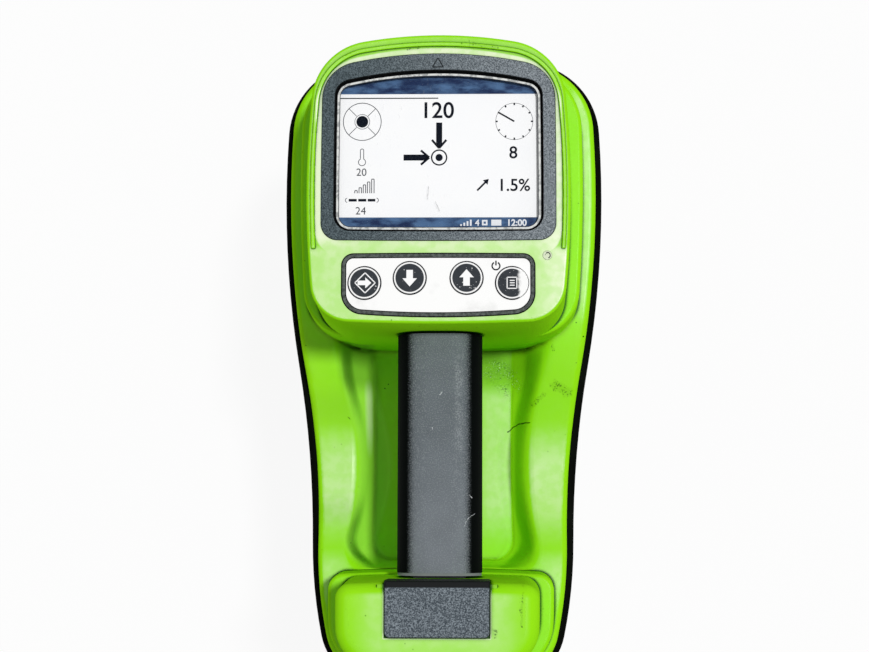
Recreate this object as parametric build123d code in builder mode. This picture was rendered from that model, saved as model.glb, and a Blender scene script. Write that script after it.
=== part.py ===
"""Walkover locator: a hand-carried receiver with a two-tower case, a bar grip and a top display."""
import os
from collections import namedtuple
from math import atan2, degrees, hypot, radians, sqrt, tan

from build123d import *

# Driving dimensions, in millimetres. +Z is up, +Y is the display end, the origin is under the middle.

# Lengths along the case, from the front edge of the rim to its rear edge
HEAD_SETBACK = 13.8
BEZEL_SETBACK = 8.2
BEZEL_LENGTH = 78.9
KEYPAD_SETBACK = 5.2
KEYPAD_LENGTH = 26.7
HEAD_REAR_MARGIN = 2.6
HAND_SPAN = 105.9
TAIL_LENGTH = 35.7
TAIL_SETBACK = 15.0

# Half widths, from the display and from the rear cap outwards to the rim
BEZEL_HALF_WIDTH = 48.8
HEAD_SIDE_MARGIN = 6.2
HEAD_LEDGE_STEP = 7.9
HEAD_FLANGE = 10.5
CAP_HALF_WIDTH = 21.35
TAIL_SIDE_MARGIN = 20.15
TAIL_LEDGE_STEP = 8.0
TAIL_FLANGE = 10.2

# Plan of the black rim, the widest line of the object
HEAD_WIDE_SETBACK = 66.0
WAIST_ADVANCE = 15.3
FRONT_RADIUS = 300.0
FRONT_CORNER_RADIUS = 36.0
TAIL_SIDE_RADIUS = 210.0
REAR_CORNER_RADIUS = 27.0
REAR_RADIUS = 260.0

# Heights
FOOT_HEIGHT = 4.0
CASE_HEIGHT = 185.0
SEAL_THICKNESS = 3.0
RIM_HEIGHT = 8.0
DECK_HEIGHT = 20.0
DECK_DIP = 9.0
DECK_RISE_LENGTH = 65.0
HEAD_LEDGE_HEIGHT = 46.0
HEAD_HEIGHT = 103.0
TAIL_LEDGE_HEIGHT = 44.0
TAIL_HEIGHT = 109.0

# Walls, drafts, roundings and fits
WALL = 3.0
RIM_WIDTH = 3.2
CASE_DRAFT = 3.0
TOWER_DRAFT = 1.5
DECK_ROUND = 3.0
LEDGE_ROUND = 2.0
HEAD_ROUND = 1.6
TAIL_ROUND = 6.0
FIT = 0.15
STACK_GAP = 0.1
THREAD_GAP = 0.05
LEVEL_TOLERANCE = 0.01
HOLE_GAP = 0.3

# Display head in plan: at its top face, then at its ledge
HEAD_TOP_WIDE_SETBACK = 66.2
HEAD_FRONT_RADIUS = 185.0
HEAD_SIDE_RADIUS = 420.0
HEAD_REAR_RADIUS = 900.0
HEAD_FRONT_CORNER = 26.0
HEAD_REAR_CORNER = 16.5
HEAD_LEDGE_FRONT_STEP = 4.8
HEAD_LEDGE_REAR_INSET = 0.8
HEAD_LEDGE_SIDE_RADIUS = 700.0
HEAD_LEDGE_FRONT_CORNER = 30.0
HEAD_LEDGE_REAR_CORNER = 21.0

# Rear tower in plan: at its top face, then at its ledge
TAIL_WIDE_SETBACK = 8.7
TAIL_TOP_SIDE_RADIUS = 300.0
TAIL_TOP_REAR_RADIUS = 200.0
TAIL_FRONT_RADIUS = 900.0
TAIL_FRONT_CORNER = 6.0
TAIL_REAR_CORNER = 16.0
TAIL_LEDGE_FRONT_STEP = 2.8
TAIL_LEDGE_REAR_STEP = 7.0
TAIL_LEDGE_SIDE_RADIUS = 200.0
TAIL_LEDGE_REAR_RADIUS = 220.0
TAIL_LEDGE_FRONT_CORNER = 7.0
TAIL_LEDGE_REAR_CORNER = 22.0

# Hand well between the towers
WELL_FINGER_ROOM = 13.3
WELL_FLOOR_FLARE = 1.0
WELL_FRONT_HALF = 52.5
WELL_MID_HALF = 44.5
WELL_REAR_HALF = 45.0
WELL_WAIST_ADVANCE = 43.3
WELL_FRONT_LAP = 10.0
WELL_REAR_GAP = 2.8
WELL_REAR_RUN = 4.0
WELL_RISE = 2.0
WELL_CORNER = 9.0
WELL_FLOOR_ROUND = 1.2
WELL_ROUND = 6.0

# Display
FLAT_BOW = 3000.0
BEZEL_FRONT_RADIUS = 175.0
BEZEL_FRONT_CORNER = 16.0
BEZEL_REAR_CORNER = 7.0
BEZEL_DEPTH = 2.0
BEZEL_PROUD = 0.4
BEZEL_SIDE_WIDTH = 5.2
BEZEL_FRONT_WIDTH = 6.9
BEZEL_REAR_WIDTH = 3.9
WINDOW_CORNER = 7.0
WINDOW_LAP = 1.9
WINDOW_THICKNESS = 2.0
GASKET_THICKNESS = 0.4
GASKET_SHOW = 0.9
DISPLAY_FRAME_DEPTH = 9.0
DISPLAY_FRAME_MARGIN = 2.0
LCD_INSET = 0.6
LCD_GAP = 0.5
LCD_FLANGE_THICKNESS = 3.8
LCD_FLANGE_WIDTH = 2.0

# Raised bead round three sides of the display
BEAD_INSET = 2.5
BEAD_WIDTH = 1.7
BEAD_HEIGHT = 0.8
BEAD_EDGE = 0.55
BEAD_ROOT = 0.4
BEAD_END_GAP = 3.3

# Keypad
KEYPAD_HALF_WIDTH = 40.1
KEYPAD_REAR_RADIUS = 420.0
KEYPAD_FRONT_CORNER = 5.0
KEYPAD_REAR_CORNER = 9.0
KEYPAD_BORDER = 2.0
KEYPAD_THICKNESS = 2.0
KEYPAD_PROUD = 0.3
KEYPAD_EDGE = 0.5
KEYPAD_BLOCK_DEPTH = 7.0
KEYPAD_BLOCK_MARGIN = 2.0
OUTER_KEY_INSET = 9.6
OUTER_KEY_SETBACK = 12.5
INNER_KEY_X = 11.75
INNER_KEY_SETBACK = 10.4
KEY_RADIUS = 6.8
KEY_GAP = 0.3
KEY_EDGE = 0.5
KEY_FLANGE = 0.9
KEY_FLANGE_THICKNESS = 1.0
KEY_FLANGE_GAP = 0.2
KEY_PROUD = 0.6
KEY_TRAVEL = 0.7
KEY_BOARD_MARGIN = 1.5
DOME_RADIUS = 4.0
DOME_HEIGHT = 1.3
SENSOR_SIDE_INSET = 9.9
SENSOR_SETBACK = 6.2
SENSOR_RADIUS = 1.9
SENSOR_LENGTH = 5.0
SENSOR_PROUD = 0.2
SENSOR_EDGE = 0.4

# Main circuit board
BOARD_THICKNESS = 1.6
BOARD_HALF_WIDTH = 42.0
BOARD_FRONT_INSET = 2.0
BOARD_REAR_INSET = 6.8
BOARD_CORNER = 12.0
BOARD_BOSS_RADIUS = 3.0
BOARD_SCREW_RADIUS = 1.25
BOARD_SCREW_REACH = 8.0
BOARD_SCREW_HEAD_RADIUS = 2.4
BOARD_SCREW_HEAD_HEIGHT = 2.0
FRONT_BOARD_SCREW_X = 34.0
REAR_BOARD_SCREW_X = 40.0
BOARD_SCREW_SETBACK = 2.0
BOARD_SCREW_ADVANCE = 24.1
# Chips under the board: x, advance from its rear edge, sizes along x and y, height
CHIPS = [(0, 60, 24, 24, 2.2), (-26, 64, 14, 18, 1.8), (26, 76, 12, 12, 3.0), (8, 32, 18, 10, 2.6),
         (-14, 36, 10, 8, 1.6)]
HEADER_ADVANCE = 6.0
HEADER_LENGTH = 30.0
HEADER_WIDTH = 5.0
BEEPER_X = -24.0
BEEPER_ADVANCE = 14.0
BEEPER_RADIUS = 8.0
BEEPER_HEIGHT = 8.0
BEEPER_HOLE_RADIUS = 1.5
BEEPER_HOLE_DEPTH = 2.0
RADIO_CARD_LENGTH = 56.0
RADIO_CARD_HEIGHT = 14.0
RADIO_CARD_SETBACK = 8.0

# Seats of the two towers on the deck
SEAT_LIP = 11.0
HOUSING_BOSS_RADIUS = 4.6
HOUSING_BOSS_HEIGHT = 14.0
HOUSING_SCREW_RADIUS = 1.5
HOUSING_SCREW_REACH = 10.0
HOUSING_SCREW_HEAD_RADIUS = 2.75
HOUSING_SCREW_HEAD_HEIGHT = 2.0
HEAD_SCREW_X = 30.0
HEAD_FRONT_SCREW_INSET = 7.0
HEAD_REAR_SCREW_INSET = 6.0
TAIL_FRONT_SCREW_X = 33.5
TAIL_REAR_SCREW_X = 15.0
TAIL_FRONT_SCREW_INSET = 4.5
TAIL_REAR_SCREW_INSET = 5.5

# Handle
GRIP_HALF_WIDTH = 18.2
GRIP_HEIGHT = 31.5
GRIP_RISE = 46.5
GRIP_ROUND = 14.0
COLLAR_THICKNESS = 1.2
COLLAR_INSET = 0.3
CORE_HALF_WIDTH = 11.0
CORE_HEIGHT = 18.0
CORE_GAP = 0.05
SOCKET_DEPTH = 1.5
ANCHOR_THICKNESS = 6.0
ANCHOR_MARGIN = 5.0
BOLT_SPACING = 13.0
BOLT_RADIUS = 2.5
BOLT_REACH = 16.0
BOLT_HEAD_RADIUS = 4.3
BOLT_HEAD_HEIGHT = 4.5
HEX_RADIUS = 1.8
HEX_DEPTH = 2.5

# Cap on the rear tower
CAP_LENGTH = 22.9
CAP_FRONT_LAP = 0.8
CAP_THICKNESS = 3.0
CAP_SKIRT = 29.0
CAP_PROUD = 1.0
CAP_CORNER = 2.2
CAP_EDGE = 0.8
CAP_SEAT_MARGIN = 3.0
HATCH_LAP = 4.0
HATCH_DEPTH = 45.0
HATCH_PLUG_DEPTH = 4.0

# Lower case
CASE_INSET = 1.2
CASE_FLOOR = 4.0
CASE_ROUND = 6.0
CASE_FLANGE_INSET = 7.5
CASE_FLANGE_DEPTH = 6.0
BUMPER_ROUND = 2.2
BUMPER_LOWER_ROUND = 1.1
PANEL_LENGTH = 150.0
PANEL_HEIGHT = 100.0
PANEL_RISE = 44.0
PANEL_CORNER = 14.0
PANEL_DEPTH = 1.0
POST_RADIUS = 6.5
BOSS_RADIUS = 5.0
SCREW_RADIUS = 1.95
SCREW_HEAD_RADIUS = 3.75
SCREW_HEAD_HEIGHT = 4.0
SCREW_HEAD_GAP = 0.5
SCREW_DRIVE_RADIUS = 1.6
SCREW_DRIVE_DEPTH = 2.0
SCREW_SEAT_DEPTH = 22.0
SCREW_REACH = 14.0
FRONT_POST_INSET = 20.4
FRONT_POST_SETBACK = 38.0
MID_POST_INSET = 23.4
MID_POST_ADVANCE = 9.4
REAR_POST_INSET = 19.2
REAR_POST_ADVANCE = 34.0
FOOT_RADIUS = 11.0
FOOT_ROUND = 1.5
FOOT_RECESS = 1.5
FRONT_FOOT_INSET = 37.4
FRONT_FOOT_SETBACK = 54.0
REAR_FOOT_INSET = 27.7
REAR_FOOT_ADVANCE = 64.0

# Battery bay in the rear of the lower case
DOOR_HALF_WIDTH = 38.0
DOOR_HEIGHT = 80.0
DOOR_RISE = 18.0
DOOR_GAP = 0.5
DOOR_THICKNESS = 4.5
DOOR_SEAL_THICKNESS = 1.0
DOOR_SEAL_WIDTH = 2.5
DOOR_SEAL_OFFSET = 1.5
DOOR_SEAL_CORNER = 1.0
BAY_FRAME_DEPTH = 6.0
BAY_FRAME_SIDE = 4.0
BAY_FRAME_END = 10.0
BAY_HALF_WIDTH = 30.5
BAY_HEIGHT = 52.0
BAY_RISE = 22.0
BAY_LENGTH = 89.0
BAY_WALL = 2.5
BAY_RIB = 4.0
PACK_LENGTH = 86.0
PACK_GAP = 0.5
PACK_ROUND = 4.0
CONTACT_LENGTH = 6.0
CONTACT_WIDTH = 5.0
CONTACT_HEIGHT = 9.0
CONTACT_PITCH = 12.0
HINGE_RADIUS = 3.0
HINGE_PIN_RADIUS = 1.25
HINGE_DROP = 3.0
HINGE_SINK = 0.3
HINGE_GAP = 0.6
HINGE_INSET = 4.0
DOOR_KNUCKLE_HALF = 21.5
PIN_HOLD_GAP = 0.02
PIN_RUN_GAP = 0.08
KNOB_RADIUS = 9.5
KNOB_RISE = 70.0
KNOB_RECESS = 4.5
KNOB_GAP = 1.5
KNOB_DISC = 2.5
KNOB_WING_WIDTH = 4.5
KNOB_WING_HEIGHT = 7.0
KNOB_WING_INSET = 1.0
STUD_RADIUS = 2.5
STUD_GAP = 0.1
STUD_ROOM = 1.0
STUD_REACH = 4.0

# Receiving antennas in the front of the lower case
ROD_RADIUS = 4.9
WINDING_RADIUS = 9.0
WINDING_GAP = 1.0
FRAME_GAP = 9.0
FRAME_LENGTH = 136.0
FRAME_WIDTH = 48.0
FRAME_BASE = 3.0
WEB_THICKNESS = 4.0
WEB_HEIGHT = 142.0
WEB_INSET = 4.0
CLIP_SIZE = 20.0
CLIP_LENGTH = 8.0
LATERAL_ROD_LENGTH = 96.0
LATERAL_ADVANCE = 116.0
LATERAL_LIFT = 132.0
FORE_AFT_ROD_LENGTH = 100.0
FORE_AFT_ADVANCE = 9.0
FORE_AFT_LIFT = 52.0
VERTICAL_ROD_LENGTH = 130.0
VERTICAL_ADVANCE = 64.0
VERTICAL_LIFT = 7.0

# Lead from the battery box up to the main board
LEAD_RADIUS = 2.0
LEAD_X = 30.0
LEAD_RISE = 34.0
LEAD_ADVANCE = 25.4
LEAD_BEND = 14.0
GLAND_RADIUS = 4.0
GLAND_LENGTH = 6.0

# Lines along the case
HALF_LENGTH = (HEAD_SETBACK + BEZEL_SETBACK + BEZEL_LENGTH + KEYPAD_SETBACK + KEYPAD_LENGTH + HEAD_REAR_MARGIN
               + HAND_SPAN + TAIL_LENGTH + TAIL_SETBACK) / 2
HEAD_FRONT_Y = HALF_LENGTH - HEAD_SETBACK
BEZEL_FRONT_Y = HEAD_FRONT_Y - BEZEL_SETBACK
BEZEL_REAR_Y = BEZEL_FRONT_Y - BEZEL_LENGTH
KEYPAD_FRONT_Y = BEZEL_REAR_Y - KEYPAD_SETBACK
KEYPAD_REAR_Y = KEYPAD_FRONT_Y - KEYPAD_LENGTH
HEAD_REAR_Y = KEYPAD_REAR_Y - HEAD_REAR_MARGIN
TAIL_FRONT_Y = HEAD_REAR_Y - HAND_SPAN
TAIL_REAR_Y = TAIL_FRONT_Y - TAIL_LENGTH
HEAD_WIDE_Y = HALF_LENGTH - HEAD_WIDE_SETBACK
HEAD_TOP_WIDE_Y = HEAD_FRONT_Y - HEAD_TOP_WIDE_SETBACK
WAIST_Y = TAIL_FRONT_Y + WAIST_ADVANCE
TAIL_WIDE_Y = TAIL_FRONT_Y - TAIL_WIDE_SETBACK
WELL_FRONT_Y = HEAD_REAR_Y + WELL_FRONT_LAP
WELL_REAR_Y = TAIL_FRONT_Y + WELL_REAR_GAP
WELL_WAIST_Y = TAIL_FRONT_Y + WELL_WAIST_ADVANCE

# Half widths
HEAD_TOP_HALF_WIDTH = BEZEL_HALF_WIDTH + HEAD_SIDE_MARGIN
HEAD_LEDGE_HALF_WIDTH = HEAD_TOP_HALF_WIDTH + HEAD_LEDGE_STEP
HEAD_HALF_WIDTH = HEAD_LEDGE_HALF_WIDTH + HEAD_FLANGE
TAIL_HALF_WIDTH = CAP_HALF_WIDTH + TAIL_SIDE_MARGIN
TAIL_LEDGE_HALF_WIDTH = TAIL_HALF_WIDTH + TAIL_LEDGE_STEP
WAIST_HALF_WIDTH = TAIL_LEDGE_HALF_WIDTH + TAIL_FLANGE
WELL_FLOOR_HALF = GRIP_HALF_WIDTH + WELL_FINGER_ROOM

# Levels of the case
JOINT_Z = FOOT_HEIGHT + CASE_HEIGHT
SHELL_Z = JOINT_Z + SEAL_THICKNESS
RIM_Z = SHELL_Z + RIM_HEIGHT
DECK_Z = SHELL_Z + DECK_HEIGHT
HEAD_LEDGE_Z = SHELL_Z + HEAD_LEDGE_HEIGHT
HEAD_Z = SHELL_Z + HEAD_HEIGHT
TAIL_LEDGE_Z = SHELL_Z + TAIL_LEDGE_HEIGHT
TAIL_Z = SHELL_Z + TAIL_HEIGHT
FLOOR_Z = FOOT_HEIGHT + CASE_FLOOR


def spread(height, draft):
    """How far a drafted wall moves out over a height."""
    return height * tan(radians(draft))


def case_rear_y(z):
    """Outside of the lower case's drafted rear wall at height z."""
    return CASE_INSET + spread(JOINT_Z - z, CASE_DRAFT) - HALF_LENGTH


# Levels of the display and the keypad
BEZEL_SEAT_Z = HEAD_Z - BEZEL_DEPTH
WINDOW_TOP_Z = BEZEL_SEAT_Z - GASKET_THICKNESS
WINDOW_SEAT_Z = WINDOW_TOP_Z - WINDOW_THICKNESS
FRAME_LOW_Z = HEAD_Z - DISPLAY_FRAME_DEPTH
BOARD_TOP_Z = FRAME_LOW_Z - LCD_FLANGE_THICKNESS - 2 * STACK_GAP
BOARD_LOW_Z = BOARD_TOP_Z - BOARD_THICKNESS
LCD_LOW_Z = BOARD_TOP_Z + STACK_GAP
KEYPAD_SEAT_Z = HEAD_Z - KEYPAD_THICKNESS
KEY_BOARD_TOP_Z = HEAD_Z - KEYPAD_BLOCK_DEPTH - STACK_GAP
KEY_BOARD_LOW_Z = KEY_BOARD_TOP_Z - BOARD_THICKNESS
KEY_LOW_Z = KEY_BOARD_TOP_Z + DOME_HEIGHT + KEY_TRAVEL + STACK_GAP

# Places on the display head
OUTER_KEY_X = KEYPAD_HALF_WIDTH - OUTER_KEY_INSET
OUTER_KEY_Y = KEYPAD_FRONT_Y - OUTER_KEY_SETBACK
INNER_KEY_Y = KEYPAD_FRONT_Y - INNER_KEY_SETBACK
KEY_SPOTS = {
    "key_enter": (-OUTER_KEY_X, OUTER_KEY_Y),
    "key_down": (-INNER_KEY_X, INNER_KEY_Y),
    "key_up": (INNER_KEY_X, INNER_KEY_Y),
    "key_menu": (OUTER_KEY_X, OUTER_KEY_Y),
}
SENSOR_X = HEAD_TOP_HALF_WIDTH - SENSOR_SIDE_INSET
SENSOR_Y = BEZEL_REAR_Y - SENSOR_SETBACK
BOARD_FRONT_Y = BEZEL_FRONT_Y - BOARD_FRONT_INSET
BOARD_REAR_Y = KEYPAD_REAR_Y + BOARD_REAR_INSET
BOARD_SPOTS = [(s * FRONT_BOARD_SCREW_X, BOARD_FRONT_Y - BOARD_SCREW_SETBACK) for s in (1, -1)]
BOARD_SPOTS += [(s * REAR_BOARD_SCREW_X, BOARD_REAR_Y + BOARD_SCREW_ADVANCE) for s in (1, -1)]

# Places on the handle and the rear tower
GRIP_Z = SHELL_Z + GRIP_RISE + GRIP_HEIGHT / 2
HEAD_WALL_Y = HEAD_REAR_Y - spread(HEAD_Z - GRIP_Z, TOWER_DRAFT)
TAIL_WALL_Y = TAIL_FRONT_Y + spread(TAIL_Z - GRIP_Z, TOWER_DRAFT)
CORE_FRONT_Y = HEAD_WALL_Y + SOCKET_DEPTH
CORE_REAR_Y = TAIL_WALL_Y - SOCKET_DEPTH
GRIP_FRONT_Y = HEAD_WALL_Y - spread(GRIP_HEIGHT / 2, TOWER_DRAFT) - FIT
COLLAR_REAR_Y = TAIL_WALL_Y + spread(GRIP_HEIGHT / 2, TOWER_DRAFT) + FIT
GRIP_REAR_Y = COLLAR_REAR_Y + COLLAR_THICKNESS
ANCHOR_FRONT_Y = HEAD_WALL_Y + WALL + ANCHOR_THICKNESS
ANCHOR_REAR_Y = TAIL_WALL_Y - WALL - ANCHOR_THICKNESS
ANCHOR_WIDTH = 2 * CORE_HALF_WIDTH + 2 * ANCHOR_MARGIN
ANCHOR_HEIGHT = CORE_HEIGHT + 2 * ANCHOR_MARGIN
CAP_Z = TAIL_Z + CAP_PROUD
CAP_SEAT_Z = CAP_Z - CAP_THICKNESS
CAP_SKIRT_Z = CAP_Z - CAP_SKIRT
CAP_FRONT_Y = TAIL_FRONT_Y + CAP_FRONT_LAP
CAP_REAR_Y = CAP_FRONT_Y - CAP_LENGTH
HATCH_HALF_WIDTH = CAP_HALF_WIDTH - HATCH_LAP
HATCH_FRONT_Y = CAP_FRONT_Y - CAP_THICKNESS - HATCH_LAP
HATCH_REAR_Y = CAP_REAR_Y + HATCH_LAP
HATCH_Y = (HATCH_FRONT_Y + HATCH_REAR_Y) / 2

# Places on the lower case
HEAD_POSTS = [(HEAD_HALF_WIDTH - FRONT_POST_INSET, HALF_LENGTH - FRONT_POST_SETBACK),
              (HEAD_HALF_WIDTH - MID_POST_INSET, HEAD_REAR_Y + MID_POST_ADVANCE)]
TAIL_POSTS = [(WAIST_HALF_WIDTH - REAR_POST_INSET, REAR_POST_ADVANCE - HALF_LENGTH)]
POST_SPOTS = [(s * x, y) for x, y in HEAD_POSTS + TAIL_POSTS for s in (1, -1)]
HEAD_SCREWS = [(s * HEAD_SCREW_X, HEAD_FRONT_Y - HEAD_FRONT_SCREW_INSET) for s in (1, -1)]
HEAD_SCREWS += [(s * HEAD_SCREW_X, HEAD_REAR_Y + HEAD_REAR_SCREW_INSET) for s in (1, -1)]
TAIL_SCREWS = [(s * TAIL_FRONT_SCREW_X, TAIL_FRONT_Y - TAIL_FRONT_SCREW_INSET) for s in (1, -1)]
TAIL_SCREWS += [(s * TAIL_REAR_SCREW_X, TAIL_REAR_Y + TAIL_REAR_SCREW_INSET) for s in (1, -1)]
SCREW_SEAT_Z = JOINT_Z - SCREW_SEAT_DEPTH
FOOT_SPOTS = [(s * (HEAD_HALF_WIDTH - FRONT_FOOT_INSET), HALF_LENGTH - FRONT_FOOT_SETBACK) for s in (1, -1)]
FOOT_SPOTS += [(s * (WAIST_HALF_WIDTH - REAR_FOOT_INSET), REAR_FOOT_ADVANCE - HALF_LENGTH) for s in (1, -1)]
DOOR_LOW_Z = FOOT_HEIGHT + DOOR_RISE
DOOR_MID_Z = DOOR_LOW_Z + DOOR_HEIGHT / 2
DOOR_INNER_Y = case_rear_y(DOOR_LOW_Z) + DOOR_THICKNESS
DOOR_SEAT_Y = DOOR_INNER_Y + DOOR_SEAL_THICKNESS
BAY_REAR_Y = DOOR_SEAT_Y + BAY_FRAME_DEPTH
BAY_FRONT_Y = BAY_REAR_Y + BAY_LENGTH
BAY_LOW_Z = FOOT_HEIGHT + BAY_RISE
BAY_MID_Z = BAY_LOW_Z + BAY_HEIGHT / 2
PACK_FRONT_Y = BAY_FRONT_Y - CONTACT_LENGTH
HINGE_Z = DOOR_LOW_Z - HINGE_DROP
HINGE_Y = case_rear_y(HINGE_Z) - HINGE_SINK
HINGE_END = DOOR_HALF_WIDTH - HINGE_INSET
KNOB_Z = DOOR_LOW_Z + KNOB_RISE
KNOB_SEAT_Y = case_rear_y(KNOB_Z) + KNOB_RECESS

# Places of the antennas
FRAME_REAR_Y = BAY_FRONT_Y + BAY_WALL + FRAME_GAP
LATERAL_Y = FRAME_REAR_Y + LATERAL_ADVANCE
LATERAL_Z = FLOOR_Z + LATERAL_LIFT
FORE_AFT_REAR_Y = FRAME_REAR_Y + FORE_AFT_ADVANCE
FORE_AFT_Z = FLOOR_Z + FORE_AFT_LIFT
VERTICAL_Y = FRAME_REAR_Y + VERTICAL_ADVANCE
VERTICAL_LOW_Z = FLOOR_Z + VERTICAL_LIFT
ROD_BORE = ROD_RADIUS + STACK_GAP
ROD_OFFSET = WEB_THICKNESS / 2 + CLIP_SIZE / 2
LATERAL_CLIP_LENGTH = 3 * CLIP_LENGTH
WINDING_START = 2 * CLIP_LENGTH + WINDING_GAP
LEAD_START_Y = BAY_FRONT_Y + BAY_WALL
LEAD_Z = BAY_LOW_Z + LEAD_RISE
LEAD_TURN_Y = HEAD_REAR_Y + LEAD_ADVANCE

STAND = (Align.CENTER, Align.CENTER, Align.MIN)
HANG = (Align.CENTER, Align.CENTER, Align.MAX)


def corner_center(first, first_r, second, second_r, corner_r, forward):
    """Centre of the corner circle that touches both big circles from inside."""
    a = first_r - corner_r
    b = second_r - corner_r
    dx = second[0] - first[0]
    dy = second[1] - first[1]
    gap = hypot(dx, dy)
    along = (a * a - b * b + gap * gap) / (2 * gap)
    off = sqrt(a * a - along * along)
    mid = (first[0] + along * dx / gap, first[1] + along * dy / gap)
    sides = [(mid[0] - s * off * dy / gap, mid[1] + s * off * dx / gap) for s in (1, -1)]
    return max(sides, key=lambda p: p[0] + forward * p[1])


def heading(start, end):
    """Angle in degrees of the line from start to end."""
    return degrees(atan2(end[1] - start[1], end[0] - start[0]))


def bulged_arcs(half_width, wide_y, front_y, rear_y, side_r, front_r, rear_r, front_corner, rear_corner):
    """Right half of a rounded rectangle with bowed sides, as tangent arcs from front to rear."""
    front = (0, front_y - front_r)
    side = (half_width - side_r, wide_y)
    rear = (0, rear_y + rear_r)
    c1 = corner_center(front, front_r, side, side_r, front_corner, 1)
    c2 = corner_center(side, side_r, rear, rear_r, rear_corner, -1)
    turns = [90, heading(front, c1), heading(side, c1), heading(side, c2), heading(rear, c2), -90]
    centers = [(front, front_r), (c1, front_corner), (side, side_r), (c2, rear_corner), (rear, rear_r)]
    return [(c, r, turns[i], turns[i + 1], 1) for i, (c, r) in enumerate(centers)]


def rim_arcs():
    """Right half of the rim: bowed front, wide head, S-curved flank, narrower tail, bowed rear."""
    drop = HEAD_HALF_WIDTH - WAIST_HALF_WIDTH
    run = HEAD_WIDE_Y - WAIST_Y
    flank_r = (drop * drop + run * run) / (4 * drop)
    front = (0, HALF_LENGTH - FRONT_RADIUS)
    head = (HEAD_HALF_WIDTH - flank_r, HEAD_WIDE_Y)
    waist = (WAIST_HALF_WIDTH + flank_r, WAIST_Y)
    tail = (WAIST_HALF_WIDTH - TAIL_SIDE_RADIUS, WAIST_Y)
    rear = (0, REAR_RADIUS - HALF_LENGTH)
    c1 = corner_center(front, FRONT_RADIUS, head, flank_r, FRONT_CORNER_RADIUS, 1)
    c2 = corner_center(tail, TAIL_SIDE_RADIUS, rear, REAR_RADIUS, REAR_CORNER_RADIUS, -1)
    bend = heading(head, waist)
    return [
        (front, FRONT_RADIUS, 90, heading(front, c1), 1),
        (c1, FRONT_CORNER_RADIUS, heading(front, c1), heading(head, c1), 1),
        (head, flank_r, heading(head, c1), bend, 1),
        (waist, flank_r, 180 + bend, 180, -1),
        (tail, TAIL_SIDE_RADIUS, 0, heading(tail, c2), 1),
        (c2, REAR_CORNER_RADIUS, heading(tail, c2), heading(rear, c2), 1),
        (rear, REAR_RADIUS, heading(rear, c2), -90, 1),
    ]


def plan_face(arcs, z, inset=0.0):
    """The closed plan at height z, moved inwards by inset all round."""
    with BuildSketch(Plane.XY.offset(z)) as plan:
        with BuildLine():
            for center, radius, start, end, sense in arcs:
                CenterArc(center, radius - sense * inset, start, end - start)
            mirror(about=Plane.YZ)
        make_face()
    return plan.sketch


RIM = rim_arcs()
HEAD_TOP = bulged_arcs(HEAD_TOP_HALF_WIDTH, HEAD_TOP_WIDE_Y, HEAD_FRONT_Y, HEAD_REAR_Y, HEAD_SIDE_RADIUS,
                       HEAD_FRONT_RADIUS, HEAD_REAR_RADIUS, HEAD_FRONT_CORNER, HEAD_REAR_CORNER)
HEAD_WALL_FOOT_Y = HEAD_REAR_Y - spread(HEAD_HEIGHT - HEAD_LEDGE_HEIGHT, TOWER_DRAFT)
HEAD_LEDGE = bulged_arcs(HEAD_LEDGE_HALF_WIDTH, HEAD_WIDE_Y, HEAD_FRONT_Y + HEAD_LEDGE_FRONT_STEP,
                         HEAD_WALL_FOOT_Y + HEAD_LEDGE_REAR_INSET, HEAD_LEDGE_SIDE_RADIUS, HEAD_FRONT_RADIUS,
                         HEAD_REAR_RADIUS, HEAD_LEDGE_FRONT_CORNER, HEAD_LEDGE_REAR_CORNER)
TAIL_TOP = bulged_arcs(TAIL_HALF_WIDTH, TAIL_WIDE_Y, TAIL_FRONT_Y, TAIL_REAR_Y, TAIL_TOP_SIDE_RADIUS,
                       TAIL_FRONT_RADIUS, TAIL_TOP_REAR_RADIUS, TAIL_FRONT_CORNER, TAIL_REAR_CORNER)
TAIL_LEDGE = bulged_arcs(TAIL_LEDGE_HALF_WIDTH, TAIL_WIDE_Y, TAIL_FRONT_Y + TAIL_LEDGE_FRONT_STEP,
                         TAIL_REAR_Y - TAIL_LEDGE_REAR_STEP, TAIL_LEDGE_SIDE_RADIUS, TAIL_FRONT_RADIUS,
                         TAIL_LEDGE_REAR_RADIUS, TAIL_LEDGE_FRONT_CORNER, TAIL_LEDGE_REAR_CORNER)
BEZEL = bulged_arcs(BEZEL_HALF_WIDTH, HEAD_TOP_WIDE_Y, BEZEL_FRONT_Y, BEZEL_REAR_Y, FLAT_BOW,
                    BEZEL_FRONT_RADIUS, FLAT_BOW, BEZEL_FRONT_CORNER, BEZEL_REAR_CORNER)
WINDOW = bulged_arcs(BEZEL_HALF_WIDTH - BEZEL_SIDE_WIDTH, HEAD_TOP_WIDE_Y, BEZEL_FRONT_Y - BEZEL_FRONT_WIDTH,
                     BEZEL_REAR_Y + BEZEL_REAR_WIDTH, FLAT_BOW, BEZEL_FRONT_RADIUS, FLAT_BOW, WINDOW_CORNER,
                     WINDOW_CORNER)
BEAD = bulged_arcs(HEAD_TOP_HALF_WIDTH - BEAD_INSET, HEAD_TOP_WIDE_Y, HEAD_FRONT_Y - BEAD_INSET - BEAD_WIDTH,
                   HEAD_REAR_Y, HEAD_SIDE_RADIUS, HEAD_FRONT_RADIUS, HEAD_REAR_RADIUS,
                   HEAD_FRONT_CORNER - BEAD_INSET, HEAD_REAR_CORNER - BEAD_INSET)
KEYPAD = bulged_arcs(KEYPAD_HALF_WIDTH, (KEYPAD_FRONT_Y + KEYPAD_REAR_Y) / 2, KEYPAD_FRONT_Y, KEYPAD_REAR_Y,
                     FLAT_BOW, FLAT_BOW, KEYPAD_REAR_RADIUS, KEYPAD_FRONT_CORNER, KEYPAD_REAR_CORNER)
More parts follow.
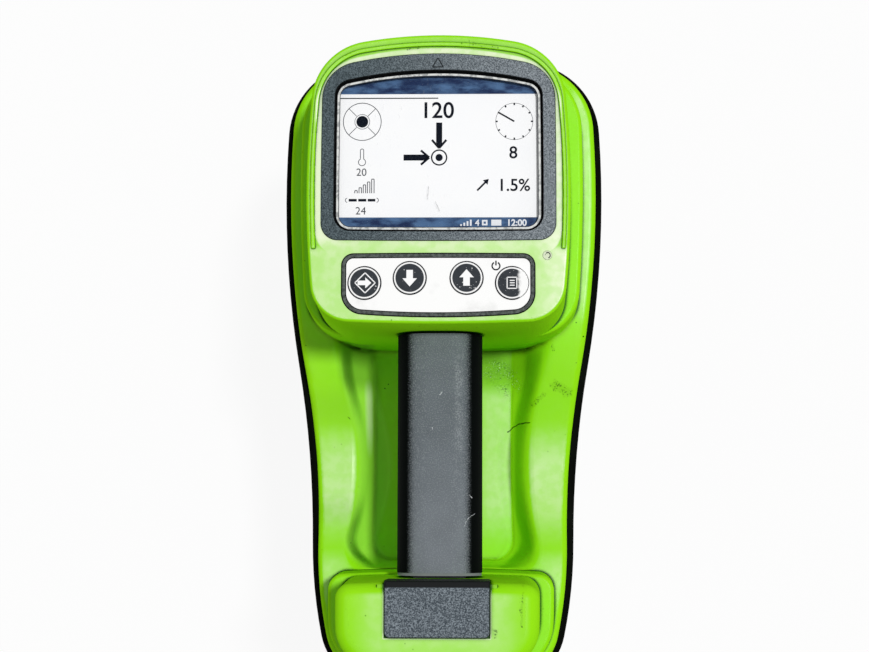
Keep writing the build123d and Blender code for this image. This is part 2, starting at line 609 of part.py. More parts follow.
Tower = namedtuple("Tower", "ledge top half_width front_y rear_y ledge_z top_z edge facing wall_y core_y "
                            "posts screws")
TOWERS = [
    Tower(HEAD_LEDGE, HEAD_TOP, HEAD_TOP_HALF_WIDTH, HEAD_FRONT_Y, HEAD_REAR_Y, HEAD_LEDGE_Z, HEAD_Z,
          HEAD_ROUND, 1, HEAD_WALL_Y, CORE_FRONT_Y, HEAD_POSTS, HEAD_SCREWS),
    Tower(TAIL_LEDGE, TAIL_TOP, TAIL_HALF_WIDTH, TAIL_FRONT_Y, TAIL_REAR_Y, TAIL_LEDGE_Z, TAIL_Z,
          TAIL_ROUND, -1, TAIL_WALL_Y, CORE_REAR_Y, TAIL_POSTS, TAIL_SCREWS),
]


def drafted(arcs, low_z, top_z, inset=0.0):
    """Plans at the two ends of a drafted wall whose plan is known at top_z."""
    return [plan_face(arcs, low_z, inset - spread(top_z - low_z, TOWER_DRAFT)), plan_face(arcs, top_z, inset)]


def tub(low_z, top_z, inset):
    """Plans at the two ends of the lower case's drafted form, moved inwards by inset."""
    return [plan_face(RIM, z, CASE_INSET + inset + spread(JOINT_Z - z, CASE_DRAFT)) for z in (low_z, top_z)]


def saddle_face(drop):
    """The space above the deck, in side view: level by the towers, dipped at the waist."""
    top = DECK_Z - drop
    low = top - DECK_DIP
    mid_y = (HEAD_REAR_Y + TAIL_FRONT_Y) / 2
    half = DECK_RISE_LENGTH / 2
    end_y = 2 * HALF_LENGTH
    with BuildSketch(Plane.YZ) as side:
        with BuildLine():
            for s in (1, -1):
                ends = [(mid_y, low), (mid_y + s * half, (top + low) / 2), (mid_y + s * 2 * half, top)]
                TangentArc(ends[0], ends[1], tangent=(s, 0))
                TangentArc(ends[2], ends[1], tangent=(-s, 0))
                Polyline(ends[2], (s * end_y, top), (s * end_y, TAIL_Z))
            Line((-end_y, TAIL_Z), (end_y, TAIL_Z))
        make_face()
    return side.sketch


def well_face(z, front_half, mid_half, rear_half, rear_y, grow):
    """One level of the hand well: wide at both ends, drawn in at its waist."""
    front_y = WELL_FRONT_Y + grow
    with BuildSketch(Plane.XY.offset(z)) as level:
        with BuildLine():
            Line((-front_half - grow, front_y), (front_half + grow, front_y))
            Line((-rear_half - grow, rear_y - grow), (rear_half + grow, rear_y - grow))
            for s in (1, -1):
                ThreePointArc((s * (front_half + grow), front_y), (s * (mid_half + grow), WELL_WAIST_Y),
                              (s * (rear_half + grow), rear_y - grow))
        make_face()
        fillet(level.vertices(), radius=WELL_CORNER + grow)
    return level.sketch


def well_levels(grow):
    """Floor level of the hand well, and a level just above the deck."""
    flared = WELL_FLOOR_HALF + WELL_FLOOR_FLARE
    return [
        well_face(SHELL_Z, flared, WELL_FLOOR_HALF, flared, WELL_REAR_Y + WELL_REAR_RUN, grow),
        well_face(DECK_Z + WELL_RISE, WELL_FRONT_HALF, WELL_MID_HALF, WELL_REAR_HALF, WELL_REAR_Y, grow),
    ]


def between(low, high, plan_center, size_x, size_y, mode=Mode.ADD):
    """A box from height low to height high, centred in plan."""
    with Locations((plan_center[0], plan_center[1], low)):
        Box(size_x, size_y, high - low, align=STAND, mode=mode)


def across(y, z, facing=1):
    """An upright plane across the case at (y, z), facing the front or the rear."""
    return Plane((0, y, z), x_dir=(1, 0, 0), z_dir=(0, facing, 0))


def carry_tower(tower):
    """Under a tower: bosses for the case screws, an opening up into it, a lip with holes for its screws."""
    between(tower.ledge_z - 2 * WALL, tower.ledge_z, (0, (tower.front_y + tower.rear_y) / 2),
            2 * (tower.half_width - SEAT_LIP), tower.front_y - tower.rear_y - 2 * SEAT_LIP, Mode.SUBTRACT)
    with Locations([(s * x, y, SHELL_Z) for x, y in tower.posts for s in (1, -1)]):
        Cylinder(BOSS_RADIUS, tower.ledge_z - WALL / 2 - SHELL_Z, align=STAND)
        Cylinder(SCREW_RADIUS + THREAD_GAP, 2 * SCREW_REACH + 2 * WALL, mode=Mode.SUBTRACT)
    with Locations([(x, y, tower.ledge_z) for x, y in tower.screws]):
        Cylinder(HOUSING_SCREW_RADIUS + HOLE_GAP, 4 * WALL, mode=Mode.SUBTRACT)


# The space of the hand well: its front lies inside the head, whose wall closes the well
with BuildPart() as well_form:
    loft(well_levels(0))
    fillet(well_form.faces().sort_by(Axis.Z)[0].edges(), radius=WELL_FLOOR_ROUND)

# The outer skin of the deck: saddle, hand well, the head's ledge with the foot of its tower, and an opening
# for the rear tower's plinth
with BuildPart() as deck_skin:
    extrude(plan_face(RIM, SHELL_Z, RIM_WIDTH + FIT), amount=DECK_HEIGHT)
    extrude(saddle_face(0), amount=2 * HEAD_HALF_WIDTH, both=True, mode=Mode.SUBTRACT)
    tops = deck_skin.faces().filter_by(lambda f: f.normal_at().Z > 0.5).edges()
    sides = deck_skin.faces().filter_by(lambda f: abs(f.normal_at().Z) < 0.1).edges()
    fillet([e for e in tops if e in sides], radius=DECK_ROUND)
    before = deck_skin.faces()
    add(well_form.part, mode=Mode.SUBTRACT)
    above = deck_skin.faces().filter_by(lambda f: f.bounding_box().min.Z > RIM_Z)
    walls = (deck_skin.faces() - before - above).edges()
    fillet([e for e in above.edges() if e in walls], radius=WELL_ROUND)
    loft(drafted(HEAD_LEDGE, SHELL_Z, HEAD_LEDGE_Z), ruled=True)
    tops = deck_skin.faces().filter_by(lambda f: abs(f.center().Z - HEAD_LEDGE_Z) < LEVEL_TOLERANCE)
    fillet(tops.sort_by(SortBy.AREA)[-1].edges(), radius=LEDGE_ROUND)
    foot_inset = -spread(HEAD_Z - HEAD_LEDGE_Z, TOWER_DRAFT)
    loft(drafted(HEAD_TOP, SHELL_Z, HEAD_LEDGE_Z, foot_inset), ruled=True)
    loft(drafted(TAIL_LEDGE, SHELL_Z, TAIL_LEDGE_Z, -FIT), ruled=True, mode=Mode.SUBTRACT)

# The hollow inside the deck, open downwards
with BuildPart() as deck_hollow:
    extrude(plan_face(RIM, SHELL_Z, RIM_WIDTH + FIT + WALL), amount=DECK_HEIGHT)
    extrude(saddle_face(WALL), amount=2 * HEAD_HALF_WIDTH, both=True, mode=Mode.SUBTRACT)
    loft(well_levels(WALL), mode=Mode.SUBTRACT)
    loft(drafted(HEAD_LEDGE, SHELL_Z, HEAD_LEDGE_Z - WALL, WALL), ruled=True)

with BuildPart() as upper_shell:
    add(deck_skin.part)
    add(deck_hollow.part, mode=Mode.SUBTRACT)
    extrude(well_levels(WALL)[0], amount=-WALL)
    carry_tower(TOWERS[0])

# The step under the rear tower, let into the deck and held by two case screws
with BuildPart() as rear_plinth:
    loft(drafted(TAIL_LEDGE, SHELL_Z, TAIL_LEDGE_Z), ruled=True)
    fillet(rear_plinth.faces().sort_by(Axis.Z)[-1].edges(), radius=LEDGE_ROUND)
    loft(drafted(TAIL_LEDGE, SHELL_Z, TAIL_LEDGE_Z - WALL, WALL), ruled=True, mode=Mode.SUBTRACT)
    carry_tower(TOWERS[1])

# The two towers: drafted housings with rounded tops, open below
housings = {}
for name, tower in zip(("display_tower", "rear_tower"), TOWERS):
    with BuildPart() as housing:
        loft(drafted(tower.top, tower.ledge_z, tower.top_z), ruled=True)
        fillet(housing.faces().sort_by(Axis.Z)[-1].edges(), radius=tower.edge)
        loft(drafted(tower.top, tower.ledge_z, tower.top_z - WALL, WALL), ruled=True, mode=Mode.SUBTRACT)
        with Locations([(x, y, tower.ledge_z) for x, y in tower.screws]):
            Cylinder(HOUSING_BOSS_RADIUS, HOUSING_BOSS_HEIGHT, align=STAND)
            Cylinder(HOUSING_SCREW_RADIUS + THREAD_GAP, HOUSING_SCREW_REACH, align=STAND, mode=Mode.SUBTRACT)
        # Anchor for the handle: a pad inside the wall, a socket for the core and two bolt holes
        with BuildSketch(across(tower.wall_y + tower.facing * WALL / 2, GRIP_Z, tower.facing)):
            Rectangle(ANCHOR_WIDTH, ANCHOR_HEIGHT)
        extrude(amount=WALL / 2 + ANCHOR_THICKNESS)
        with BuildSketch(across(tower.core_y, GRIP_Z, -tower.facing)):
            Rectangle(2 * CORE_HALF_WIDTH + 2 * FIT, CORE_HEIGHT + 2 * FIT)
        extrude(amount=2 * SOCKET_DEPTH, mode=Mode.SUBTRACT)
        with BuildSketch(across(tower.core_y, GRIP_Z, tower.facing)):
            with GridLocations(BOLT_SPACING, 0, 2, 1):
                Circle(BOLT_RADIUS + HOLE_GAP)
        extrude(amount=2 * ANCHOR_THICKNESS, mode=Mode.SUBTRACT)
    housings[name] = housing

with BuildPart() as display_housing:
    add(housings["display_tower"].part)
    # Frame under the display, block under the keypad, bosses for the board
    extrude(plan_face(BEZEL, FRAME_LOW_Z, -DISPLAY_FRAME_MARGIN), amount=DISPLAY_FRAME_DEPTH - WALL / 2)
    extrude(plan_face(KEYPAD, HEAD_Z - KEYPAD_BLOCK_DEPTH, -KEYPAD_BLOCK_MARGIN),
            amount=KEYPAD_BLOCK_DEPTH - WALL / 2)
    with Locations([(x, y, BOARD_TOP_Z) for x, y in BOARD_SPOTS]):
        Cylinder(BOARD_BOSS_RADIUS, HEAD_Z - BOARD_TOP_Z - WALL / 2, align=STAND)
    # Raised bead
    with BuildSketch(Plane.XY.offset(HEAD_Z - BEAD_ROOT)):
        add(plan_face(BEAD, 0, -BEAD_WIDTH / 2))
        add(plan_face(BEAD, 0, BEAD_WIDTH / 2), mode=Mode.SUBTRACT)
        with Locations((0, BEZEL_REAR_Y - BEAD_END_GAP)):
            Rectangle(4 * HEAD_HALF_WIDTH, HEAD_HALF_WIDTH, align=(Align.CENTER, Align.MAX),
                      mode=Mode.SUBTRACT)
    extrude(amount=BEAD_HEIGHT + BEAD_ROOT)
    crest_z = HEAD_Z + BEAD_HEIGHT
    bead_top = display_housing.faces().filter_by(lambda f: abs(f.center().Z - crest_z) < LEVEL_TOLERANCE)
    fillet(bead_top.edges(), radius=BEAD_EDGE)
    # Display and keypad recesses and their openings
    extrude(plan_face(BEZEL, BEZEL_SEAT_Z, -FIT), amount=2 * BEZEL_DEPTH, mode=Mode.SUBTRACT)
    extrude(plan_face(WINDOW, WINDOW_SEAT_Z - STACK_GAP, -WINDOW_LAP - FIT), amount=2 * WINDOW_THICKNESS,
            mode=Mode.SUBTRACT)
    extrude(plan_face(WINDOW, FRAME_LOW_Z, FIT), amount=DISPLAY_FRAME_DEPTH, mode=Mode.SUBTRACT)
    extrude(plan_face(KEYPAD, KEYPAD_SEAT_Z, -FIT), amount=2 * KEYPAD_THICKNESS, mode=Mode.SUBTRACT)
    with Locations([(x, y, HEAD_Z) for x, y in KEY_SPOTS.values()]):
        Cylinder(KEY_RADIUS + KEY_FLANGE + 2 * KEY_GAP, 4 * KEYPAD_BLOCK_DEPTH, mode=Mode.SUBTRACT)
    with Locations((SENSOR_X, SENSOR_Y, HEAD_Z)):
        Cylinder(SENSOR_RADIUS + THREAD_GAP, 4 * SENSOR_LENGTH, mode=Mode.SUBTRACT)
    with Locations([(x, y, BOARD_TOP_Z) for x, y in BOARD_SPOTS]):
        Cylinder(BOARD_SCREW_RADIUS + THREAD_GAP, 2 * BOARD_SCREW_REACH, mode=Mode.SUBTRACT)

with BuildPart() as rear_housing:
    add(housings["rear_tower"].part)
    # Seat of the cap, with a hatch through to the anchor bolts
    with Locations((0, CAP_FRONT_Y - WALL / 2, CAP_SKIRT_Z - WALL)):
        Box(2 * CAP_HALF_WIDTH + 2 * CAP_SEAT_MARGIN, CAP_LENGTH + WALL / 2, TAIL_Z - CAP_SKIRT_Z + WALL / 2,
            align=(Align.CENTER, Align.MAX, Align.MIN))
    with Locations((0, CAP_REAR_Y - FIT, CAP_SEAT_Z)):
        Box(2 * CAP_HALF_WIDTH + 2 * FIT, 2 * CAP_LENGTH, 2 * CAP_THICKNESS,
            align=(Align.CENTER, Align.MIN, Align.MIN), mode=Mode.SUBTRACT)
    with Locations((0, CAP_FRONT_Y - CAP_THICKNESS - FIT, CAP_SKIRT_Z - FIT)):
        Box(2 * CAP_HALF_WIDTH + 2 * FIT, CAP_LENGTH, 2 * CAP_SKIRT,
            align=(Align.CENTER, Align.MIN, Align.MIN), mode=Mode.SUBTRACT)
    between(TAIL_Z - HATCH_DEPTH, TAIL_Z, (0, HATCH_Y), 2 * HATCH_HALF_WIDTH, HATCH_FRONT_Y - HATCH_REAR_Y,
            Mode.SUBTRACT)

with BuildPart() as housing_screws:
    for tower in TOWERS:
        with Locations([(x, y, tower.ledge_z - WALL) for x, y in tower.screws]):
            Cylinder(HOUSING_SCREW_HEAD_RADIUS, HOUSING_SCREW_HEAD_HEIGHT, align=HANG)
            Cylinder(HOUSING_SCREW_RADIUS, WALL + HOUSING_SCREW_REACH - STACK_GAP, align=STAND)

# Black rubber bumper: a seal between the cases with an upstand round the green shell
with BuildPart() as edge_bumper:
    extrude(plan_face(RIM, JOINT_Z), amount=RIM_Z - JOINT_Z)
    fillet(edge_bumper.faces().sort_by(Axis.Z)[-1].edges(), radius=BUMPER_ROUND)
    fillet(edge_bumper.faces().sort_by(Axis.Z)[0].edges(), radius=BUMPER_LOWER_ROUND)
    extrude(plan_face(RIM, SHELL_Z, RIM_WIDTH), amount=2 * RIM_HEIGHT, mode=Mode.SUBTRACT)
    extrude(plan_face(RIM, JOINT_Z, RIM_WIDTH + FIT + WALL), amount=SEAL_THICKNESS, mode=Mode.SUBTRACT)

# Outside of the lower case, also the outside of its battery door
with BuildPart() as case_form:
    loft(tub(FOOT_HEIGHT, JOINT_Z, 0), ruled=True)
    fillet(case_form.faces().sort_by(Axis.Z)[0].edges(), radius=CASE_ROUND)

# Thick wall behind the battery door
with BuildPart() as bay_frame:
    with BuildSketch(across(BAY_REAR_Y, DOOR_MID_Z, -1)):
        Rectangle(2 * DOOR_HALF_WIDTH + 2 * BAY_FRAME_SIDE, DOOR_HEIGHT + 2 * BAY_FRAME_END)
    extrude(amount=HALF_LENGTH)
    add(case_form.part, mode=Mode.INTERSECT)

# Shallow panel sunk into each long side, to stiffen it
with BuildPart() as side_panels:
    with BuildSketch(Plane.YZ):
        with Locations((HEAD_REAR_Y, FOOT_HEIGHT + PANEL_RISE + PANEL_HEIGHT / 2)):
            RectangleRounded(PANEL_LENGTH, PANEL_HEIGHT, PANEL_CORNER)
    extrude(amount=2 * HEAD_HALF_WIDTH, both=True)
    loft(tub(FOOT_HEIGHT, JOINT_Z, PANEL_DEPTH), ruled=True, mode=Mode.SUBTRACT)

with BuildPart() as lower_case:
    add(case_form.part)
    loft(tub(FLOOR_Z, JOINT_Z - CASE_FLANGE_DEPTH, WALL), ruled=True, mode=Mode.SUBTRACT)
    extrude(plan_face(RIM, JOINT_Z - CASE_FLANGE_DEPTH, CASE_FLANGE_INSET), amount=CASE_FLANGE_DEPTH,
            mode=Mode.SUBTRACT)
    add(side_panels.part, mode=Mode.SUBTRACT)
    with Locations([(x, y, FLOOR_Z) for x, y in POST_SPOTS]):
        Cylinder(POST_RADIUS, SHELL_Z - FLOOR_Z, align=STAND)
    with Locations([(x, y, 0) for x, y in POST_SPOTS]):
        Cylinder(SCREW_HEAD_RADIUS + SCREW_HEAD_GAP, SCREW_SEAT_Z, align=STAND, mode=Mode.SUBTRACT)
        Cylinder(SCREW_RADIUS + HOLE_GAP, 2 * SHELL_Z, mode=Mode.SUBTRACT)
    with Locations([(x, y, FOOT_HEIGHT) for x, y in FOOT_SPOTS]):
        Cylinder(FOOT_RADIUS + FIT, 2 * FOOT_RECESS, mode=Mode.SUBTRACT)
    # Battery bay: a flat seat for the door with an opening through it
    add(bay_frame.part)
    with BuildSketch(across(DOOR_SEAT_Y, DOOR_MID_Z, -1)):
        Rectangle(2 * DOOR_HALF_WIDTH + 2 * DOOR_GAP, DOOR_HEIGHT + 2 * DOOR_GAP)
    extrude(amount=HALF_LENGTH, mode=Mode.SUBTRACT)
    with BuildSketch(across(DOOR_SEAT_Y, BAY_MID_Z)):
        Rectangle(2 * BAY_HALF_WIDTH, BAY_HEIGHT)
    extrude(amount=BAY_FRAME_DEPTH, mode=Mode.SUBTRACT)
    with BuildSketch(across(DOOR_SEAT_Y, KNOB_Z)):
        Circle(STUD_RADIUS + STUD_ROOM)
    extrude(amount=STUD_REACH + STUD_ROOM, mode=Mode.SUBTRACT)
    # Hinge trough and the case's two knuckles
    with BuildSketch(Plane.YZ):
        with Locations((HINGE_Y, HINGE_Z)):
            Circle(HINGE_RADIUS + HINGE_GAP)
    extrude(amount=HINGE_END + HINGE_GAP, both=True, mode=Mode.SUBTRACT)
    for s in (1, -1):
        with BuildSketch(Plane.YZ.offset(s * (DOOR_KNUCKLE_HALF + DOOR_GAP))):
            with Locations((HINGE_Y, HINGE_Z)):
                Circle(HINGE_RADIUS)
            with Locations((HINGE_Y, HINGE_Z - HINGE_RADIUS)):
                Rectangle(HINGE_RADIUS + 3 * HINGE_GAP, 2 * HINGE_RADIUS - DOOR_GAP,
                          align=(Align.MIN, Align.MIN))
            with Locations((HINGE_Y, HINGE_Z)):
                Circle(HINGE_PIN_RADIUS + PIN_HOLD_GAP, mode=Mode.SUBTRACT)
        extrude(amount=s * (HINGE_END - DOOR_KNUCKLE_HALF - DOOR_GAP))

with BuildPart() as battery_door:
    with BuildSketch(across(DOOR_INNER_Y, DOOR_MID_Z, -1)):
        Rectangle(2 * DOOR_HALF_WIDTH, DOOR_HEIGHT)
    extrude(amount=HALF_LENGTH)
    add(case_form.part, mode=Mode.INTERSECT)
    with BuildSketch(across(KNOB_SEAT_Y, KNOB_Z, -1)):
        Circle(KNOB_RADIUS + KNOB_GAP)
    extrude(amount=2 * KNOB_RECESS, mode=Mode.SUBTRACT)
    with BuildSketch(across(KNOB_SEAT_Y, KNOB_Z)):
        Circle(STUD_RADIUS + STUD_GAP)
    extrude(amount=HALF_LENGTH, mode=Mode.SUBTRACT)
    with BuildSketch(Plane.YZ):
        with Locations((HINGE_Y, HINGE_Z)):
            Circle(HINGE_RADIUS)
            Rectangle(HINGE_RADIUS, HINGE_DROP + HINGE_RADIUS, align=(Align.CENTER, Align.MIN))
            Circle(HINGE_PIN_RADIUS + PIN_RUN_GAP, mode=Mode.SUBTRACT)
    extrude(amount=DOOR_KNUCKLE_HALF, both=True)

with BuildPart() as door_pin:
    with BuildSketch(Plane.YZ):
        with Locations((HINGE_Y, HINGE_Z)):
            Circle(HINGE_PIN_RADIUS)
    extrude(amount=HINGE_END, both=True)

with BuildPart() as door_seal:
    with BuildSketch(across(DOOR_INNER_Y, BAY_MID_Z)):
        inner_width = 2 * BAY_HALF_WIDTH + 2 * DOOR_SEAL_OFFSET
        inner_height = BAY_HEIGHT + 2 * DOOR_SEAL_OFFSET
        RectangleRounded(inner_width + 2 * DOOR_SEAL_WIDTH, inner_height + 2 * DOOR_SEAL_WIDTH,
                         DOOR_SEAL_CORNER + DOOR_SEAL_WIDTH)
        RectangleRounded(inner_width, inner_height, DOOR_SEAL_CORNER, mode=Mode.SUBTRACT)
    extrude(amount=DOOR_SEAL_THICKNESS - FIT)

with BuildPart() as door_knob:
    with BuildSketch(across(KNOB_SEAT_Y - FIT, KNOB_Z, -1)):
        Circle(KNOB_RADIUS)
    extrude(amount=KNOB_DISC)
    with BuildSketch(across(KNOB_SEAT_Y - FIT, KNOB_Z, -1)):
        SlotOverall(2 * KNOB_RADIUS - 2 * KNOB_WING_INSET, KNOB_WING_WIDTH)
    extrude(amount=KNOB_WING_HEIGHT)
    with BuildSketch(across(KNOB_SEAT_Y - FIT, KNOB_Z)):
        Circle(STUD_RADIUS)
    extrude(amount=DOOR_SEAT_Y - KNOB_SEAT_Y + STUD_REACH)

with BuildPart() as battery_box:
    with BuildSketch(across(BAY_REAR_Y, BAY_MID_Z)):
        Rectangle(2 * BAY_HALF_WIDTH + 2 * BAY_WALL, BAY_HEIGHT + 2 * BAY_WALL)
    extrude(amount=BAY_LENGTH + BAY_WALL)
    with BuildSketch(across(BAY_REAR_Y, BAY_MID_Z)):
        Rectangle(2 * BAY_HALF_WIDTH, BAY_HEIGHT)
    extrude(amount=BAY_LENGTH, mode=Mode.SUBTRACT)
    for s in (1, -1):
        between(FLOOR_Z, BAY_LOW_Z - BAY_WALL, (s * BAY_HALF_WIDTH / 2, BAY_REAR_Y + BAY_LENGTH / 2), BAY_RIB,
                BAY_LENGTH - 2 * BAY_RIB)

with BuildPart() as battery_pack:
    with BuildSketch(across(PACK_FRONT_Y, BAY_MID_Z - PACK_GAP, -1)):
        RectangleRounded(2 * BAY_HALF_WIDTH - 2 * PACK_GAP, BAY_HEIGHT - 2 * PACK_GAP, PACK_ROUND)
    extrude(amount=PACK_LENGTH)

with BuildPart() as battery_contacts:
    with BuildSketch(across(PACK_FRONT_Y, BAY_MID_Z)):
        with GridLocations(CONTACT_PITCH, 0, 3, 1):
            Rectangle(CONTACT_WIDTH, CONTACT_HEIGHT)
    extrude(amount=CONTACT_LENGTH)

with BuildPart() as feet:
    with Locations([(x, y, 0) for x, y in FOOT_SPOTS]):
        Cylinder(FOOT_RADIUS, FOOT_HEIGHT + FOOT_RECESS, align=STAND)
    fillet(feet.faces().filter_by(lambda f: f.center().Z < LEVEL_TOLERANCE).edges(), radius=FOOT_ROUND)

with BuildPart() as case_screws:
    with Locations([(x, y, SCREW_SEAT_Z) for x, y in POST_SPOTS]):
        Cylinder(SCREW_HEAD_RADIUS, SCREW_HEAD_HEIGHT, align=HANG)
        Cylinder(SCREW_RADIUS, SCREW_SEAT_DEPTH + SEAL_THICKNESS + SCREW_REACH, align=STAND)
    with Locations([(x, y, SCREW_SEAT_Z - SCREW_HEAD_HEIGHT) for x, y in POST_SPOTS]):
        Cylinder(SCREW_DRIVE_RADIUS, SCREW_DRIVE_DEPTH, align=STAND, mode=Mode.SUBTRACT)

# Display stack, from the top down
with BuildPart() as display_bezel:
    extrude(plan_face(BEZEL, BEZEL_SEAT_Z), amount=BEZEL_DEPTH + BEZEL_PROUD)
    extrude(plan_face(WINDOW, BEZEL_SEAT_Z), amount=2 * BEZEL_DEPTH, mode=Mode.SUBTRACT)
    fillet(display_bezel.faces().sort_by(Axis.Z)[-1].edges(), radius=BEZEL_PROUD)

with BuildPart() as window_gasket:
    extrude(plan_face(WINDOW, WINDOW_TOP_Z, -WINDOW_LAP), amount=GASKET_THICKNESS)
    extrude(plan_face(WINDOW, WINDOW_TOP_Z, GASKET_SHOW), amount=GASKET_THICKNESS, mode=Mode.SUBTRACT)

with BuildPart() as display_window:
    extrude(plan_face(WINDOW, WINDOW_SEAT_Z, -WINDOW_LAP), amount=WINDOW_THICKNESS)

with BuildPart() as lcd_module:
    extrude(plan_face(WINDOW, LCD_LOW_Z, LCD_INSET - LCD_FLANGE_WIDTH), amount=LCD_FLANGE_THICKNESS)
    extrude(plan_face(WINDOW, LCD_LOW_Z, LCD_INSET), amount=WINDOW_SEAT_Z - LCD_GAP - LCD_LOW_Z)

# Keypad
with BuildPart() as keypad_frame:
    extrude(plan_face(KEYPAD, KEYPAD_SEAT_Z), amount=KEYPAD_THICKNESS + KEYPAD_PROUD)
    extrude(plan_face(KEYPAD, KEYPAD_SEAT_Z, KEYPAD_BORDER), amount=2 * KEYPAD_THICKNESS, mode=Mode.SUBTRACT)
    fillet(keypad_frame.faces().sort_by(Axis.Z)[-1].edges(), radius=KEYPAD_EDGE)

with BuildPart() as keypad_panel:
    extrude(plan_face(KEYPAD, KEYPAD_SEAT_Z, KEYPAD_BORDER + THREAD_GAP), amount=KEYPAD_THICKNESS)
    with Locations([(x, y, HEAD_Z) for x, y in KEY_SPOTS.values()]):
        Cylinder(KEY_RADIUS + KEY_GAP, 4 * KEYPAD_THICKNESS, mode=Mode.SUBTRACT)

keys = {}
for name, (key_x, key_y) in KEY_SPOTS.items():
    with BuildPart() as key:
        with Locations((key_x, key_y, KEY_LOW_Z)):
            Cylinder(KEY_RADIUS, HEAD_Z + KEY_PROUD - KEY_LOW_Z, align=STAND)
        fillet(key.faces().sort_by(Axis.Z)[-1].edges(), radius=KEY_EDGE)
        with Locations((key_x, key_y, KEYPAD_SEAT_Z - KEY_FLANGE_GAP)):
            Cylinder(KEY_RADIUS + KEY_FLANGE, KEY_FLANGE_THICKNESS, align=HANG)
    keys[name] = key

with BuildPart() as keypad_board:
    between(KEY_BOARD_LOW_Z, KEY_BOARD_TOP_Z, (0, (KEYPAD_FRONT_Y + HEAD_REAR_Y + WALL) / 2),
            2 * KEYPAD_HALF_WIDTH - KEYPAD_REAR_CORNER,
            KEYPAD_FRONT_Y - HEAD_REAR_Y - WALL - 2 * KEY_BOARD_MARGIN)

with BuildPart() as key_domes:
    with Locations([(x, y, KEY_BOARD_TOP_Z) for x, y in KEY_SPOTS.values()]):
        Cylinder(DOME_RADIUS, DOME_HEIGHT, align=STAND)

with BuildPart() as light_sensor:
    with Locations((SENSOR_X, SENSOR_Y, HEAD_Z + SENSOR_PROUD)):
        Cylinder(SENSOR_RADIUS, SENSOR_LENGTH, align=HANG)
    fillet(light_sensor.faces().sort_by(Axis.Z)[-1].edges(), radius=SENSOR_EDGE)

# Main board and what sits on it
with BuildPart() as main_board:
    between(BOARD_LOW_Z, BOARD_TOP_Z, (0, (BOARD_FRONT_Y + BOARD_REAR_Y) / 2), 2 * BOARD_HALF_WIDTH,
            BOARD_FRONT_Y - BOARD_REAR_Y)
    fillet(main_board.edges().filter_by(Axis.Z).sort_by(Axis.Y)[-2:], radius=BOARD_CORNER)
    with Locations([(x, y, BOARD_LOW_Z) for x, y in BOARD_SPOTS]):
        Cylinder(BOARD_SCREW_RADIUS + FIT, 4 * BOARD_THICKNESS, mode=Mode.SUBTRACT)

with BuildPart() as board_screws:
    with Locations([(x, y, BOARD_LOW_Z) for x, y in BOARD_SPOTS]):
        Cylinder(BOARD_SCREW_HEAD_RADIUS, BOARD_SCREW_HEAD_HEIGHT, align=HANG)
        Cylinder(BOARD_SCREW_RADIUS, BOARD_SCREW_REACH, align=STAND)

with BuildPart() as board_chips:
    for x, advance, size_x, size_y, tall in CHIPS:
        between(BOARD_LOW_Z - tall, BOARD_LOW_Z, (x, BOARD_REAR_Y + advance), size_x, size_y)

with BuildPart() as board_header:
    between(BOARD_TOP_Z, KEY_BOARD_LOW_Z, (0, BOARD_REAR_Y + HEADER_ADVANCE), HEADER_LENGTH, HEADER_WIDTH)

with BuildPart() as beeper:
    with Locations((BEEPER_X, BOARD_REAR_Y + BEEPER_ADVANCE, BOARD_LOW_Z)):
        Cylinder(BEEPER_RADIUS, BEEPER_HEIGHT, align=HANG)
    with Locations((BEEPER_X, BOARD_REAR_Y + BEEPER_ADVANCE, BOARD_LOW_Z - BEEPER_HEIGHT)):
        Cylinder(BEEPER_HOLE_RADIUS, BEEPER_HOLE_DEPTH, align=STAND, mode=Mode.SUBTRACT)

with BuildPart() as telemetry_antenna:
    between(BOARD_LOW_Z - RADIO_CARD_HEIGHT, BOARD_LOW_Z, (0, BOARD_FRONT_Y - RADIO_CARD_SETBACK),
            RADIO_CARD_LENGTH, BOARD_THICKNESS)

# Handle
with BuildPart() as grip_sleeve:
    with BuildSketch(across(GRIP_REAR_Y, GRIP_Z)):
        RectangleRounded(2 * GRIP_HALF_WIDTH, GRIP_HEIGHT, GRIP_ROUND)
        Rectangle(2 * CORE_HALF_WIDTH + 2 * CORE_GAP, CORE_HEIGHT + 2 * CORE_GAP, mode=Mode.SUBTRACT)
    extrude(amount=GRIP_FRONT_Y - GRIP_REAR_Y)

with BuildPart() as grip_collar:
    with BuildSketch(across(GRIP_REAR_Y, GRIP_Z, -1)):
        RectangleRounded(2 * GRIP_HALF_WIDTH - 2 * COLLAR_INSET, GRIP_HEIGHT - 2 * COLLAR_INSET,
                         GRIP_ROUND - COLLAR_INSET)
        Rectangle(2 * CORE_HALF_WIDTH + 2 * CORE_GAP, CORE_HEIGHT + 2 * CORE_GAP, mode=Mode.SUBTRACT)
    extrude(amount=COLLAR_THICKNESS)

with BuildPart() as handle_core:
    with BuildSketch(across(CORE_REAR_Y + STACK_GAP, GRIP_Z)):
        Rectangle(2 * CORE_HALF_WIDTH, CORE_HEIGHT)
    extrude(amount=CORE_FRONT_Y - CORE_REAR_Y - 2 * STACK_GAP)
    for core_y, s in ((CORE_FRONT_Y, -1), (CORE_REAR_Y, 1)):
        with BuildSketch(across(core_y, GRIP_Z, s)):
            with GridLocations(BOLT_SPACING, 0, 2, 1):
                Circle(BOLT_RADIUS + THREAD_GAP)
        extrude(amount=BOLT_REACH + STACK_GAP, mode=Mode.SUBTRACT)

